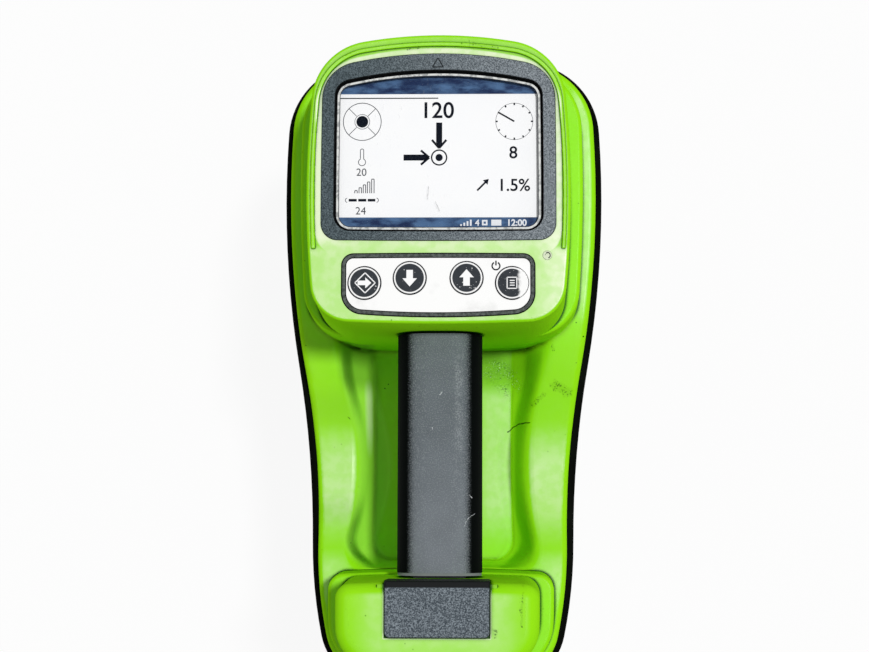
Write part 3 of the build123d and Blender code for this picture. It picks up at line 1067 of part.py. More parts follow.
with BuildPart() as handle_bolts:
    for anchor_y, s in ((ANCHOR_FRONT_Y, -1), (ANCHOR_REAR_Y, 1)):
        with BuildSketch(across(anchor_y, GRIP_Z, s)):
            with GridLocations(BOLT_SPACING, 0, 2, 1):
                Circle(BOLT_RADIUS)
        extrude(amount=WALL + ANCHOR_THICKNESS - SOCKET_DEPTH + BOLT_REACH)
        with BuildSketch(across(anchor_y, GRIP_Z, -s)):
            with GridLocations(BOLT_SPACING, 0, 2, 1):
                Circle(BOLT_HEAD_RADIUS)
        extrude(amount=BOLT_HEAD_HEIGHT)
        with BuildSketch(across(anchor_y - s * BOLT_HEAD_HEIGHT, GRIP_Z, s)):
            with GridLocations(BOLT_SPACING, 0, 2, 1):
                RegularPolygon(HEX_RADIUS, 6)
        extrude(amount=HEX_DEPTH, mode=Mode.SUBTRACT)

with BuildPart() as rear_cap:
    with Locations((0, CAP_REAR_Y, CAP_SEAT_Z)):
        Box(2 * CAP_HALF_WIDTH, CAP_LENGTH, CAP_THICKNESS, align=(Align.CENTER, Align.MIN, Align.MIN))
    with Locations((0, CAP_FRONT_Y, CAP_SKIRT_Z)):
        Box(2 * CAP_HALF_WIDTH, CAP_THICKNESS, CAP_SKIRT - CAP_THICKNESS,
            align=(Align.CENTER, Align.MAX, Align.MIN))
    fillet(rear_cap.edges().filter_by(Axis.Z).sort_by(Axis.Y)[:2], radius=CAP_CORNER)
    fillet(rear_cap.faces().sort_by(Axis.Z)[-1].edges(), radius=CAP_EDGE)
    between(CAP_SEAT_Z - HATCH_PLUG_DEPTH, CAP_SEAT_Z, (0, HATCH_Y), 2 * HATCH_HALF_WIDTH - 2 * FIT,
            HATCH_FRONT_Y - HATCH_REAR_Y - 2 * FIT)

# Antennas: three ferrite rods at right angles on one frame
lateral_axis = Plane((-LATERAL_ROD_LENGTH / 2, LATERAL_Y, LATERAL_Z), x_dir=(0, 1, 0), z_dir=(1, 0, 0))
fore_aft_axis = Plane((ROD_OFFSET, FORE_AFT_REAR_Y, FORE_AFT_Z), x_dir=(1, 0, 0), z_dir=(0, 1, 0))
vertical_axis = Plane((-ROD_OFFSET, VERTICAL_Y, VERTICAL_LOW_Z))

with BuildPart() as antenna_frame:
    frame_mid = (0, FRAME_REAR_Y + FRAME_LENGTH / 2)
    between(FLOOR_Z, FLOOR_Z + FRAME_BASE, frame_mid, FRAME_WIDTH, FRAME_LENGTH)
    between(FLOOR_Z + FRAME_BASE, FLOOR_Z + FRAME_BASE + WEB_HEIGHT, frame_mid, WEB_THICKNESS,
            FRAME_LENGTH - 2 * WEB_INSET)
    for y in (FORE_AFT_REAR_Y + CLIP_LENGTH, FORE_AFT_REAR_Y + FORE_AFT_ROD_LENGTH - 2 * CLIP_LENGTH):
        with Locations((0, y, FORE_AFT_Z)):
            Box(ROD_OFFSET + CLIP_SIZE / 2, CLIP_LENGTH, CLIP_SIZE,
                align=(Align.MIN, Align.MIN, Align.CENTER))
    for z in (VERTICAL_LOW_Z + CLIP_LENGTH, VERTICAL_LOW_Z + VERTICAL_ROD_LENGTH - 2 * CLIP_LENGTH):
        with Locations((0, VERTICAL_Y, z)):
            Box(ROD_OFFSET + CLIP_SIZE / 2, CLIP_SIZE, CLIP_LENGTH,
                align=(Align.MAX, Align.CENTER, Align.MIN))
    with Locations((0, LATERAL_Y, LATERAL_Z)):
        Box(LATERAL_CLIP_LENGTH, CLIP_SIZE, CLIP_SIZE)
    for axis, length in ((lateral_axis, LATERAL_ROD_LENGTH), (fore_aft_axis, FORE_AFT_ROD_LENGTH),
                         (vertical_axis, VERTICAL_ROD_LENGTH)):
        with BuildSketch(axis):
            Circle(ROD_BORE)
        extrude(amount=length, mode=Mode.SUBTRACT)

with BuildPart() as lateral_rod:
    with BuildSketch(lateral_axis):
        Circle(ROD_RADIUS)
    extrude(amount=LATERAL_ROD_LENGTH)

with BuildPart() as fore_aft_rod:
    with BuildSketch(fore_aft_axis):
        Circle(ROD_RADIUS)
    extrude(amount=FORE_AFT_ROD_LENGTH)

with BuildPart() as vertical_rod:
    with BuildSketch(vertical_axis):
        Circle(ROD_RADIUS)
    extrude(amount=VERTICAL_ROD_LENGTH)

with BuildPart() as lateral_winding:
    half_winding = (LATERAL_ROD_LENGTH - LATERAL_CLIP_LENGTH) / 2 - CLIP_LENGTH
    for start in (CLIP_LENGTH - WINDING_GAP, (LATERAL_ROD_LENGTH + LATERAL_CLIP_LENGTH) / 2 + WINDING_GAP):
        with BuildSketch(lateral_axis.offset(start)):
            Circle(WINDING_RADIUS)
            Circle(ROD_BORE, mode=Mode.SUBTRACT)
        extrude(amount=half_winding)

with BuildPart() as fore_aft_winding:
    with BuildSketch(fore_aft_axis.offset(WINDING_START)):
        Circle(WINDING_RADIUS)
        Circle(ROD_BORE, mode=Mode.SUBTRACT)
    extrude(amount=FORE_AFT_ROD_LENGTH - 2 * WINDING_START)

with BuildPart() as vertical_winding:
    with BuildSketch(vertical_axis.offset(WINDING_START)):
        Circle(WINDING_RADIUS)
        Circle(ROD_BORE, mode=Mode.SUBTRACT)
    extrude(amount=VERTICAL_ROD_LENGTH - 2 * WINDING_START)

with BuildPart() as power_lead:
    with BuildLine() as route:
        FilletPolyline((LEAD_X, LEAD_START_Y, LEAD_Z), (LEAD_X, LEAD_TURN_Y, LEAD_Z),
                       (LEAD_X, LEAD_TURN_Y, BOARD_LOW_Z), radius=LEAD_BEND)
    with BuildSketch(Plane(route.line @ 0, z_dir=route.line % 0)):
        Circle(LEAD_RADIUS)
    sweep()
    with Locations((LEAD_X, LEAD_TURN_Y, BOARD_LOW_Z)):
        Cylinder(GLAND_RADIUS, GLAND_LENGTH, align=HANG)
    with BuildSketch(Plane((LEAD_X, LEAD_START_Y, LEAD_Z), x_dir=(1, 0, 0), z_dir=(0, 1, 0))):
        Circle(GLAND_RADIUS)
    extrude(amount=GLAND_LENGTH)

pieces = {
    "upper_shell": upper_shell, "display_housing": display_housing, "rear_housing": rear_housing,
    "rear_plinth": rear_plinth, "housing_screws": housing_screws, "lower_case": lower_case,
    "edge_bumper": edge_bumper, "feet": feet,
    "case_screws": case_screws, "display_bezel": display_bezel, "display_window": display_window,
    "window_gasket": window_gasket, "lcd_module": lcd_module, "keypad_frame": keypad_frame,
    "keypad_panel": keypad_panel, "keypad_board": keypad_board, "key_domes": key_domes,
    "light_sensor": light_sensor, "main_board": main_board, "board_screws": board_screws,
    "board_chips": board_chips, "board_header": board_header, "beeper": beeper,
    "telemetry_antenna": telemetry_antenna, "grip_sleeve": grip_sleeve, "grip_collar": grip_collar,
    "handle_core": handle_core, "handle_bolts": handle_bolts, "rear_cap": rear_cap,
    "antenna_frame": antenna_frame, "lateral_rod": lateral_rod, "lateral_winding": lateral_winding,
    "fore_aft_rod": fore_aft_rod, "fore_aft_winding": fore_aft_winding, "vertical_rod": vertical_rod,
    "vertical_winding": vertical_winding, "battery_box": battery_box, "battery_pack": battery_pack,
    "battery_contacts": battery_contacts, "power_lead": power_lead, "battery_door": battery_door,
    "door_pin": door_pin, "door_seal": door_seal, "door_knob": door_knob, **keys,
}
os.makedirs("parts", exist_ok=True)
for name, piece in pieces.items():
    piece.part.label = name
    export_step(piece.part, f"parts/{name}.step")
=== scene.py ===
# %% [markdown]
# # A walkover locator, dressed for the camera
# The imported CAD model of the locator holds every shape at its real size. This lesson gives each of those
# pieces its finish, adds what is printed on the keys and shown on the display, and sets up a camera, a floor
# and plain light. Everything is in metres, in the frame of the CAD model: X to the right, Y to the display
# end, Z up.

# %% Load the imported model
import math
from functools import reduce

import bpy
import numpy as np
from mathutils import Matrix, Vector


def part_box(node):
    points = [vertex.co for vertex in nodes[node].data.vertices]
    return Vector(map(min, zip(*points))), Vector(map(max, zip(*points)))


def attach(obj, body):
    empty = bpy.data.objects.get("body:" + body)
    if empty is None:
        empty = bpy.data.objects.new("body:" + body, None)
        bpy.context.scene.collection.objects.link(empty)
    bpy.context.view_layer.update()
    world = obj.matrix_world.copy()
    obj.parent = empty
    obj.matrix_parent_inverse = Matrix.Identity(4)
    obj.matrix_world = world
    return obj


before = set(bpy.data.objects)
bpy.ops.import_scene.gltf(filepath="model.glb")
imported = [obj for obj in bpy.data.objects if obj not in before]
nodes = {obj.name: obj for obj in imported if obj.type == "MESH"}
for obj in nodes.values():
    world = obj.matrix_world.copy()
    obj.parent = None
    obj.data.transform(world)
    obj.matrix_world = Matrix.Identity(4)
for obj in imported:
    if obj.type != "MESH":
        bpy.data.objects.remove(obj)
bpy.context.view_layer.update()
MM = 0.001

# %% [markdown]
# ## Shader maths as plain expressions
# A material is a graph of nodes, and sums are easier to read as Python than as links. A `Wire` wraps one
# output socket: its operators add Math nodes, and `node` adds any other kind. The settings of a node go in
# first, because some of them, such as a Mix node's data type, change which sockets it has.

# %% A wrapper for sockets
class Wire:
    """One output socket in a node tree, which can be used in sums with numbers and other wires."""

    def __init__(self, tree, socket=None):
        self.tree = tree
        self.socket = socket

    def node(self, kind, settings=None, sockets=None, out=0):
        """Adds a node, sets its settings and then its sockets, and returns its output named or numbered out."""
        made = self.tree.nodes.new(kind)
        for name, value in (settings or {}).items():
            setattr(made, name, value)
        for name, value in (sockets or {}).items():
            if isinstance(value, Wire):
                self.tree.links.new(value.socket, made.inputs[name])
            else:
                made.inputs[name].default_value = value
        return Wire(self.tree, made.outputs[out])

    def math(self, operation, *values):
        return self.node("ShaderNodeMath", {"operation": operation}, dict(enumerate(values)))

    def __add__(self, other):
        return self.math("ADD", self, other)

    def __sub__(self, other):
        return self.math("SUBTRACT", self, other)

    def __rsub__(self, other):
        return self.math("SUBTRACT", other, self)

    def __mul__(self, other):
        return self.math("MULTIPLY", self, other)

    __radd__ = __add__
    __rmul__ = __mul__

    def most(self, other):
        return self.math("MAXIMUM", self, other)

    def least(self, other):
        return self.math("MINIMUM", self, other)


# %% [markdown]
# ## Words for patterns
# The finishes below share a few patterns: fine grain, round cells, soft steps, and marks at a place. Each
# is a short function of the surface's own Object coordinates, so a pattern has a real size and stays on its
# piece when the piece moves. Where several masks meet, the larger or the smaller of two wires joins them.

# %% Pattern helpers
def ink(red, green, blue):
    """A colour as a screen shows it, 0 to 255, turned into the linear colour that shaders use."""
    share = np.array([red, green, blue]) / 255
    linear = np.where(share > 0.04045, ((share + 0.055) / 1.055) ** 2.4, share / 12.92)
    return (*linear.tolist(), 1.0)


def fade(value, low, high):
    """A soft step: 0 below low, 1 above high, smooth between. With low above high it falls instead."""
    flip = low > high
    ends = {"From Min": min(low, high), "From Max": max(low, high), "To Min": float(flip), "To Max": 1.0 - flip}
    return value.node("ShaderNodeMapRange", {"interpolation_type": "SMOOTHSTEP"}, {"Value": value, **ends})


def ramp(value, edges):
    """A soft step between two places in millimetres: 0 at the first of the edges, 1 at the second."""
    return fade(value, edges[0] * MM, edges[1] * MM)


def blend(share, first, second):
    """A colour that goes from first to second as share goes from 0 to 1."""
    return share.node("ShaderNodeMix", {"data_type": "RGBA"}, {0: share, 6: first, 7: second}, out=2)


def vector(operation, first, second, out=0):
    """One step of vector maths on two wires, or on a wire and a plain vector."""
    sockets = {0: first, 1: second}
    return first.node("ShaderNodeVectorMath", {"operation": operation}, sockets, out)


def grain(place, size, detail=2.0):
    """Smooth noise from 0 to 1 whose lumps are about size metres across."""
    sockets = {"Vector": place, "Scale": 1 / size, "Detail": detail}
    return place.node("ShaderNodeTexNoise", {}, sockets)


def cells(place, size, out="Distance"):
    """Round cells about size metres apart: the distance from the middle of each, or its random colour."""
    return place.node("ShaderNodeTexVoronoi", {}, {"Vector": place, "Scale": 1 / size}, out)


def specks(place, size, share):
    """Small irregular dots, in about that share of the cells."""
    tint = cells(place, size, "Color")
    chosen = tint.node("ShaderNodeSeparateColor", {}, {0: tint})
    return fade(cells(place, size), 0.3, 0.16) * fade(chosen, 1 - share, 1.02 - share)


def axis_of(place, which):
    """The X, Y or Z of a vector, numbered 0 to 2."""
    return place.node("ShaderNodeSeparateXYZ", {}, {0: place}, which)


def shaken(place, size, reach):
    """The place moved about by noise, which makes the edge of a mark ragged."""
    noise = place.node("ShaderNodeTexNoise", {}, {"Vector": place, "Scale": 1 / size}, "Color")
    shift = vector("SUBTRACT", noise, (0.5, 0.5, 0.5))
    return vector("ADD", place, vector("MULTIPLY", shift, (reach, reach, reach)))


def stroke(place, start, end, width):
    """A mark along the line from start to end in plan: 1 on the line, 0 half a width away from it.

    The nearest point of the line is start + t (end - start), with t the dot product of the place and the
    line's direction over its length squared, kept within 0 to 1."""
    start, end = Vector((*start, 0)) * MM, Vector((*end, 0)) * MM
    run = end - start
    flat = vector("MULTIPLY", place, (1, 1, 0))
    reach = vector("DOT_PRODUCT", vector("SUBTRACT", flat, start), run / run.length_squared, "Value")
    share = reach.most(0).least(1)
    near = share.node("ShaderNodeVectorMath", {"operation": "SCALE"}, {0: run, "Scale": share})
    gap = vector("DISTANCE", flat, vector("ADD", near, start), "Value")
    return fade(gap, width * MM / 2, width * MM / 6)


def trail(place, width, *points):
    """A mark of that width along the lines from each point to the next, all in millimetres."""
    return reduce(Wire.most, (stroke(place, *ends, width) for ends in zip(points, points[1:])))


def facing_up(place, low, high, ragged=0):
    """1 where the surface faces up: its normal's Z, plus ragged, from low to high."""
    normal = place.node("ShaderNodeNewGeometry", out="Normal")
    return fade(axis_of(normal, 2) + ragged, low, high)


def crevice(place, reach, first=0.7, full=0.25):
    """0 where more than the share first of the surroundings within reach is open, 1 where less than full is."""
    open_share = place.node("ShaderNodeAmbientOcclusion", {"samples": 8}, {"Distance": reach}, "AO")
    return fade(open_share, first, full)


def outside(place, name, corner=0.0, arch=0.0):
    """How far a place lies outside a piece's box in plan, in metres, less than 0 inside it.

    The box has round corners of that radius, and its front edge drops by arch at both ends. With q the
    distances to the box without its corners, the answer is |q above 0| + (the larger q, below 0) - corner."""
    low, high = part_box(name)
    middle, half = (low + high) / 2, (high - low) / 2
    across = axis_of(place, 0) - middle.x
    along = axis_of(place, 1) - middle.y + across * across * (arch / half.x ** 2)
    across = across.math("ABSOLUTE", across) - (half.x - corner)
    along = along.math("ABSOLUTE", along) - (half.y - corner)
    wide, deep = across.most(0), along.most(0)
    length = wide.math("SQRT", wide * wide + deep * deep)
    return length + across.most(along).least(0) - corner


def start(name, **constant):
    """A new material: the material, its shader, and a wire at Object coordinates.

    Values that are the same all over are set on the shader's own sockets."""
    made = bpy.data.materials.new(name)
    made.use_nodes = True
    shader = made.node_tree.nodes["Principled BSDF"]
    for socket, value in constant.items():
        shader.inputs[socket.replace("_", " ")].default_value = value
    return made, shader, Wire(made.node_tree).node("ShaderNodeTexCoord", out="Object")


def wear(shader, **wires):
    """Feeds wires to the shader's sockets."""
    for socket, wire in wires.items():
        wire.tree.links.new(wire.socket, shader.inputs[socket.replace("_", " ")])


def relief(height, depth, strength=1.0, under=None):
    """The normal of a surface raised by height, which is 0 to 1, times depth in metres.

    It is laid over the normal called under, if one is given."""
    sockets = {"Strength": strength, "Distance": depth, "Height": height}
    if under is not None:
        sockets["Normal"] = under
    return height.node("ShaderNodeBump", {}, sockets)


def dress(finish, *names):
    """Puts a finish on the CAD nodes of those names."""
    for name in names:
        nodes[name].material_slots[0].material = finish
    print(finish.name, "on", ", ".join(names))


# %% [markdown]
# ## The camera
# The photograph looks almost straight down. Its focal length and place were worked out from the rims of the
# two towers and the case, which lie at different heights: the pixel straight below the camera is where
# all upright edges would meet. From that pixel follow the camera's three axes.

# %% Set the camera
PHOTO_WIDTH = 869
PHOTO_HEIGHT = 652
FOCAL_PIXELS = 1931
BELOW_CAMERA_PIXEL = (487, 520)
CAMERA_SPOT = Vector((20.2, -70.0, 1087.0)) * MM
SENSOR_MM = 36.0

down_seen = Vector((
    (BELOW_CAMERA_PIXEL[0] - PHOTO_WIDTH / 2) / FOCAL_PIXELS,
    (BELOW_CAMERA_PIXEL[1] - PHOTO_HEIGHT / 2) / FOCAL_PIXELS,
    1.0,
)).normalized()
ahead_seen = Vector((0, -1, 0))
ahead_seen = (ahead_seen - ahead_seen.dot(down_seen) * down_seen).normalized()
right_seen = ahead_seen.cross(-down_seen)
to_camera = Matrix((right_seen, ahead_seen, -down_seen)).transposed()
camera = bpy.data.objects.new("camera", bpy.data.cameras.new("camera"))
camera.data.sensor_width = SENSOR_MM
camera.data.lens = FOCAL_PIXELS / PHOTO_WIDTH * SENSOR_MM
camera.data.clip_start = 0.01
axes = Matrix((to_camera[0], -to_camera[1], -to_camera[2])).transposed()
camera.matrix_world = Matrix.Translation(CAMERA_SPOT) @ axes.to_4x4()
bpy.context.scene.collection.objects.link(camera)
bpy.context.scene.camera = camera
bpy.context.scene.view_settings.view_transform = "Standard"
print("camera", round(camera.data.lens, 1), "mm lens")

# %% [markdown]
# ## Light and floor
# One soft-edged key lamp stands almost overhead, a little to the front and the right: in the photograph the
# head throws its shadow back into the hand well. A plain pale world and the pale floor fill the shadows. Both
# show white to the camera and in reflections, so that the background is white without more light on the
# object. The floor keeps part of the object's shadow.

# %% Set the light and the floor
KEY_STRENGTH = 2.2
KEY_SIZE = math.radians(6)
KEY_FROM = Vector((0.235, 0.08, 0.969))
WORLD_STRENGTH = 0.3
FLOOR_SIDE = 8.0
FLOOR_WHITE = 0.92
FLOOR_TONES = (ink(222, 222, 222), ink(230, 230, 230))
FLOOR_PATCH = 0.3

key = bpy.data.objects.new("key_lamp", bpy.data.lights.new("key_lamp", "SUN"))
key.data.energy = KEY_STRENGTH
key.data.angle = KEY_SIZE
key.rotation_euler = KEY_FROM.to_track_quat("Z", "Y").to_euler()
bpy.context.scene.collection.objects.link(key)


def seen_directly(tree):
    """1 for rays from the camera, a reflection or glass, which show the background as it is."""
    kinds = ("Is Camera Ray", "Is Glossy Ray", "Is Transmission Ray")
    return reduce(Wire.most, (Wire(tree).node("ShaderNodeLightPath", out=kind) for kind in kinds))


world = bpy.data.worlds.new("pale_world")
bpy.context.scene.world = world
world.use_nodes = True
seen = seen_directly(world.node_tree)
lighting = seen.node("ShaderNodeBackground", {}, {"Color": (1, 1, 1, 1), "Strength": WORLD_STRENGTH})
backdrop = seen.node("ShaderNodeBackground", {}, {"Color": (1, 1, 1, 1), "Strength": 1.0})
sky = seen.node("ShaderNodeMixShader", {}, {0: seen, 1: lighting, 2: backdrop})
world.node_tree.links.new(sky.socket, world.node_tree.nodes["World Output"].inputs[0])

half = FLOOR_SIDE / 2
floor_corners = [(-half, -half, 0), (half, -half, 0), (half, half, 0), (-half, half, 0)]
floor_mesh = bpy.data.meshes.new("floor")
floor_mesh.from_pydata(floor_corners, [], [(0, 1, 2, 3)])
floor = bpy.data.objects.new("floor", floor_mesh)
bpy.context.scene.collection.objects.link(floor)
floor_paint, floor_shader, place = start("floor_paint", Roughness=0.9)
wear(floor_shader, Base_Color=blend(grain(place, FLOOR_PATCH), *FLOOR_TONES))
seen = seen_directly(floor_paint.node_tree)
white = seen.node("ShaderNodeEmission", {}, {"Color": (1, 1, 1, 1), "Strength": 1.0})
shown = seen.node("ShaderNodeMixShader", {}, {
    0: seen * FLOOR_WHITE, 1: Wire(floor_paint.node_tree, floor_shader.outputs[0]), 2: white})
floor_paint.node_tree.links.new(shown.socket, floor_paint.node_tree.nodes["Material Output"].inputs[0])
floor_mesh.materials.append(floor_paint)
print("floor", FLOOR_SIDE, "m, key lamp", KEY_STRENGTH)

# %% [markdown]
# ## Lime plastic
# The upper case is bright lime plastic, moulded with a fine satin texture. Years of work have chalked its top
# faces and left dark scuffs where a strap and stones have rubbed. The colour drifts a little. The pale on faces
# that point up is chalk with a painted sheen of the overhead lamp, inside the bead of the display head, on the
# waist of the deck and round the rear cap; the right flange, the right of the well floor, the lit left wall of
# the well and the edge round the rear cap carry painted highlights. Painted shade, with some dirt, darkens
# creases and corners where the surroundings block the light, and a painted shadow of the head, with some dirt,
# lies in the front of the hand well. The walls of the hand well are a plain loft in CAD; a bump that follows
# the well's outline gives them the hollow of a moulding, and a bevel in the shading rounds their corners.

# %% Make the lime plastic
LIME = ink(160, 235, 32)
LIME_DEEP = ink(139, 227, 13)
# The pale colour is chalk and painted sheen; the dark one is dirt and painted shade.
LIME_CHALK_AND_SHEEN = ink(234, 247, 208)
LIME_DIRT_AND_SHADE = ink(38, 100, 0)
SCUFF = ink(36, 70, 10)

# Marks of wear in plan, in millimetres: a width, then the points that it runs through.
SCUFFS = [
    (6.0, (51, -9), (57, -12)), (3.0, (41, -17.6), (46.3, -12.8)), (2.4, (32, -95), (34.5, -96)),
    (1.5, (34.6, -99), (34, -113)), (2.4, (23.4, -114), (23.6, -116.5)), (1.5, (-43.6, -23.4), (-42.7, -24)),
    (2.4, (49.8, 9), (50.4, 7)), (2.0, (13, 128), (24, 126.6)), (1.6, (-13, 126), (-9, 126.5)),
]
HAIR_SCRATCH = (0.8, (29.8, -29.3), (34.4, -26.1), (39.9, -25.7))
GRITTY_SPOT = (16.0, (24, -1), (30, -7))

# The well's outline: its half width sways round the waist and bends in at the rear.
WELL_EDGE_MM = 41.5
WELL_SWAY_MM = 4.3
WELL_SWAY_LENGTH_MM = 100.0
WELL_WAIST_Y_MM = -45.0
WELL_REAR_Y_MM = -76.0
WELL_REAR_BEND = 50.0
BOWL_MM = 5.0
BEZEL_CORNER_MM = 14.0
BEZEL_ARCH_MM = 8.0

# How far past the well's outline each part of its walls lies, in millimetres: it fades in over each pair.
WALL_LOW, WALL_HIGH = (-16, -12), (4, -1)
RIGHT_RIM, RIGHT_SLOPE = (-9, 0), (-14, -7)
LEFT_RIM, LEFT_SLOPE = (-5, 1), (-13, -3)

# How far past a bezel or cap the chalk and painted sheen reach, how much of them lies in each place, and how
# round corners look.
BEAD_EDGE, CAP_ROUND, CAP_LIP, CAP_BEHIND = (2.8, 2.0), (14, 2), (0.9, 0.5), (-2, -6)
CHALK_AND_SHEEN_ALL, CHALK_AND_SHEEN_DECK, SHEEN_FLOOR, SHEEN_FLANGE, CHALK_AND_SHEEN_TAIL = 0.03, 0.42, 0.3, 0.35, 0.22
SOFT_WELL_MM, SOFT_FOOT_MM, SOFT_REAR_MM = 7, 6, 3

lime_plastic, shader, place = start("lime_plastic", IOR=1.5, Specular_IOR_Level=0.0, Coat_Roughness=0.3)
side, along, height = (axis_of(place, which) for which in range(3))
across = side.math("ABSOLUTE", side)
AXIS_OF_EDGE = {"low": height, "top": height, "front": along, "rear": along,
                "left": side, "right": side, "sides": across}


def zone(**edges):
    """A place on the case: the product of soft edges, each a pair in millimetres from outside to inside."""
    return reduce(Wire.__mul__, (ramp(AXIS_OF_EDGE[name], pair) for name, pair in edges.items()))


upward = facing_up(place, 0.9, 1.0)
sway = (along - WELL_WAIST_Y_MM * MM) * (2 * math.pi / (WELL_SWAY_LENGTH_MM * MM))
edge = WELL_EDGE_MM * MM - sway.math("COSINE", sway) * (WELL_SWAY_MM * MM)
rear_turn = (WELL_REAR_Y_MM * MM - along).most(0)
beyond = across - edge + rear_turn * rear_turn * WELL_REAR_BEND
in_well = zone(top=(216, 212), front=(16, 2), rear=(-96, -84))
well_floor = zone(top=(206, 198))
foot = zone(top=(234, 228), rear=(-12, -4), front=(26, 16))

display_end = zone(rear=(36, 54))
pale_left = zone(left=(-38, -52)) * display_end
pale_right = zone(right=(38, 50)) * (1 - display_end)
in_bead = ramp(outside(place, "display_bezel", BEZEL_CORNER_MM * MM, BEZEL_ARCH_MM * MM), BEAD_EDGE)
in_bead = in_bead.most(zone(front=(58, 50), sides=(49, 46))).most(zone(front=(44, 40)))
head_top = zone(low=(285, 292), rear=(-60, -30)) * in_bead.most(0.12)
head_top = head_top * (0.45 + display_end * 0.46 + pale_left * 0.5 + pale_right * 0.3)
waist = zone(front=(-24, -46), rear=(-84, -60))
rear_corner = zone(front=(-82, -92), rear=(-112, -98), sides=(38, 50))
deck = zone(low=(198, 204), top=(224, 216)) * waist.most(rear_corner * 0.7)
floor_right = zone(top=(198, 194), right=(14, 22), front=(-6, -15), rear=(-84, -60))
flange = zone(top=(232, 226), right=(58, 63), rear=(16, 34))
by_cap = outside(place, "rear_cap")
tail_top = zone(low=(288, 296)) * ramp(by_cap, CAP_ROUND) * ramp(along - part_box("rear_cap")[1].y, CAP_BEHIND)
# Chalk and painted sheen on faces that point up; on the deck's waist, the right flange and the right of the
# well floor it is mostly a painted highlight of the lamp.
chalk_and_sheen = CHALK_AND_SHEEN_ALL + head_top + deck * CHALK_AND_SHEEN_DECK + floor_right * SHEEN_FLOOR
chalk_and_sheen = upward * (chalk_and_sheen + flange * SHEEN_FLANGE + tail_top * CHALK_AND_SHEEN_TAIL) * (0.6 + grain(place, 0.03) * 0.8)
chalk_and_sheen = chalk_and_sheen * (0.8 + fade(grain(place, 4 * MM, 4.0), 0.35, 0.65) * 0.3)
# A painted highlight along the edge round the rear cap.
lip_highlight = zone(low=(298, 300)) * ramp(by_cap, CAP_LIP)
# Painted highlight: the left wall of the well faces the lamp and is painted a little paler, and paler still in
# a sheen near its foot.
left_wall = ramp(beyond, WALL_LOW) * ramp(beyond, WALL_HIGH) * in_well * zone(left=(0, -10))
left_sheen = left_wall * zone(low=(192.6, 195), top=(200, 196), rear=(-48, -24), front=(-2, -14))
color = blend(grain(place, 0.05), LIME_DEEP, LIME)
color = blend(chalk_and_sheen.most(lip_highlight * 0.75).most(left_wall * 0.07).most(left_sheen * 0.5), color, LIME_CHALK_AND_SHEEN)

# Painted shade, with some dirt: darker in narrow creases and joints, and in corners where the surroundings
# block the light.
seam_shade = crevice(place, 2 * MM, 0.95, 0.65) * (1 - foot)
corners = crevice(place, 5 * MM) * fade(grain(place, 6 * MM), 0.3, 0.6) * (1 - foot)
# A painted shadow of the head, with some dirt, on the front of the well floor at the right and on the front of
# its left wall.
pocket_dirt_and_shadow = well_floor * zone(rear=(-16, 0), right=(-5, 10)) * (0.3 + grain(place, 8 * MM) * 0.3)
pocket_dirt_and_shadow = pocket_dirt_and_shadow.most(left_wall * zone(rear=(-15, -5)) * 0.45)
color = blend(seam_shade.most(corners).most(pocket_dirt_and_shadow), color, LIME_DIRT_AND_SHADE)
dots = specks(place, 1.6 * MM, 0.05) * fade(grain(place, 0.025), 0.5, 0.68)
grit = trail(place, *GRITTY_SPOT) * in_well * fade(grain(place, 4 * MM, 3.0), 0.35, 0.6)
dark_grit = grit * fade(grain(place, 0.7 * MM, 3.0), 0.5, 0.62) * 0.65
pale_grit = grit * fade(grain(place, 0.6 * MM, 1.0), 0.62, 0.72) * 0.6
color = blend(pale_grit, blend(dots.most(dark_grit), color, LIME_DIRT_AND_SHADE), LIME_CHALK_AND_SHEEN)
ragged = shaken(shaken(place, 3 * MM, 3 * MM), 0.7 * MM, 1.0 * MM)
marks = reduce(Wire.most, (trail(ragged, *scuff) for scuff in SCUFFS))
marks = marks * (0.13 + fade(cells(ragged, 1.0 * MM), 0.45, 0.25) * 0.6) * facing_up(place, 0.3, 0.6)
marks = marks.most(trail(shaken(place, 4 * MM, 1.5 * MM), *HAIR_SCRATCH) * 0.9)
color = blend(marks, color, SCUFF)

right_bowl = (ramp(beyond, RIGHT_RIM) - ramp(beyond, RIGHT_SLOPE)) * 0.55
creased = zone(rear=(-32, -8)).most(zone(front=(-56, -74)))
left_bowl = ramp(beyond, LEFT_RIM) * creased - ramp(beyond, LEFT_SLOPE)
on_right = zone(right=(-1, 1))
bowl = (right_bowl * on_right + left_bowl * (1 - on_right)) * in_well
soft = (well_floor * SOFT_WELL_MM).most(foot * SOFT_FOOT_MM).most(zone(front=(-90, -94)) * SOFT_REAR_MM) * MM
rounded = place.node("ShaderNodeBevel", {"samples": 8}, {"Radius": soft})
form = relief(bowl, BOWL_MM * MM, under=rounded)
wear(shader, Base_Color=color, Roughness=0.4 + grain(place, 0.012) * 0.1 + marks * 0.2)
wear(shader, Coat_Weight=(upward * 0.08 + chalk_and_sheen * 0.4).most(left_wall * 0.15))
wear(shader, Normal=relief(grain(place, 0.5 * MM, 3.0), 0.05 * MM, 0.6, under=form))
dress(lime_plastic, "upper_shell", "display_housing", "rear_housing", "rear_plinth")

# %% [markdown]
# ## Black mouldings and rubber
# The rim, the tub under it and the feet are black. Up close they differ: rubber is dull, and the tub has a
# coarse leathery texture. One function makes them all from their colour, the size of their grain, how dusty
# they are and how much they shine.

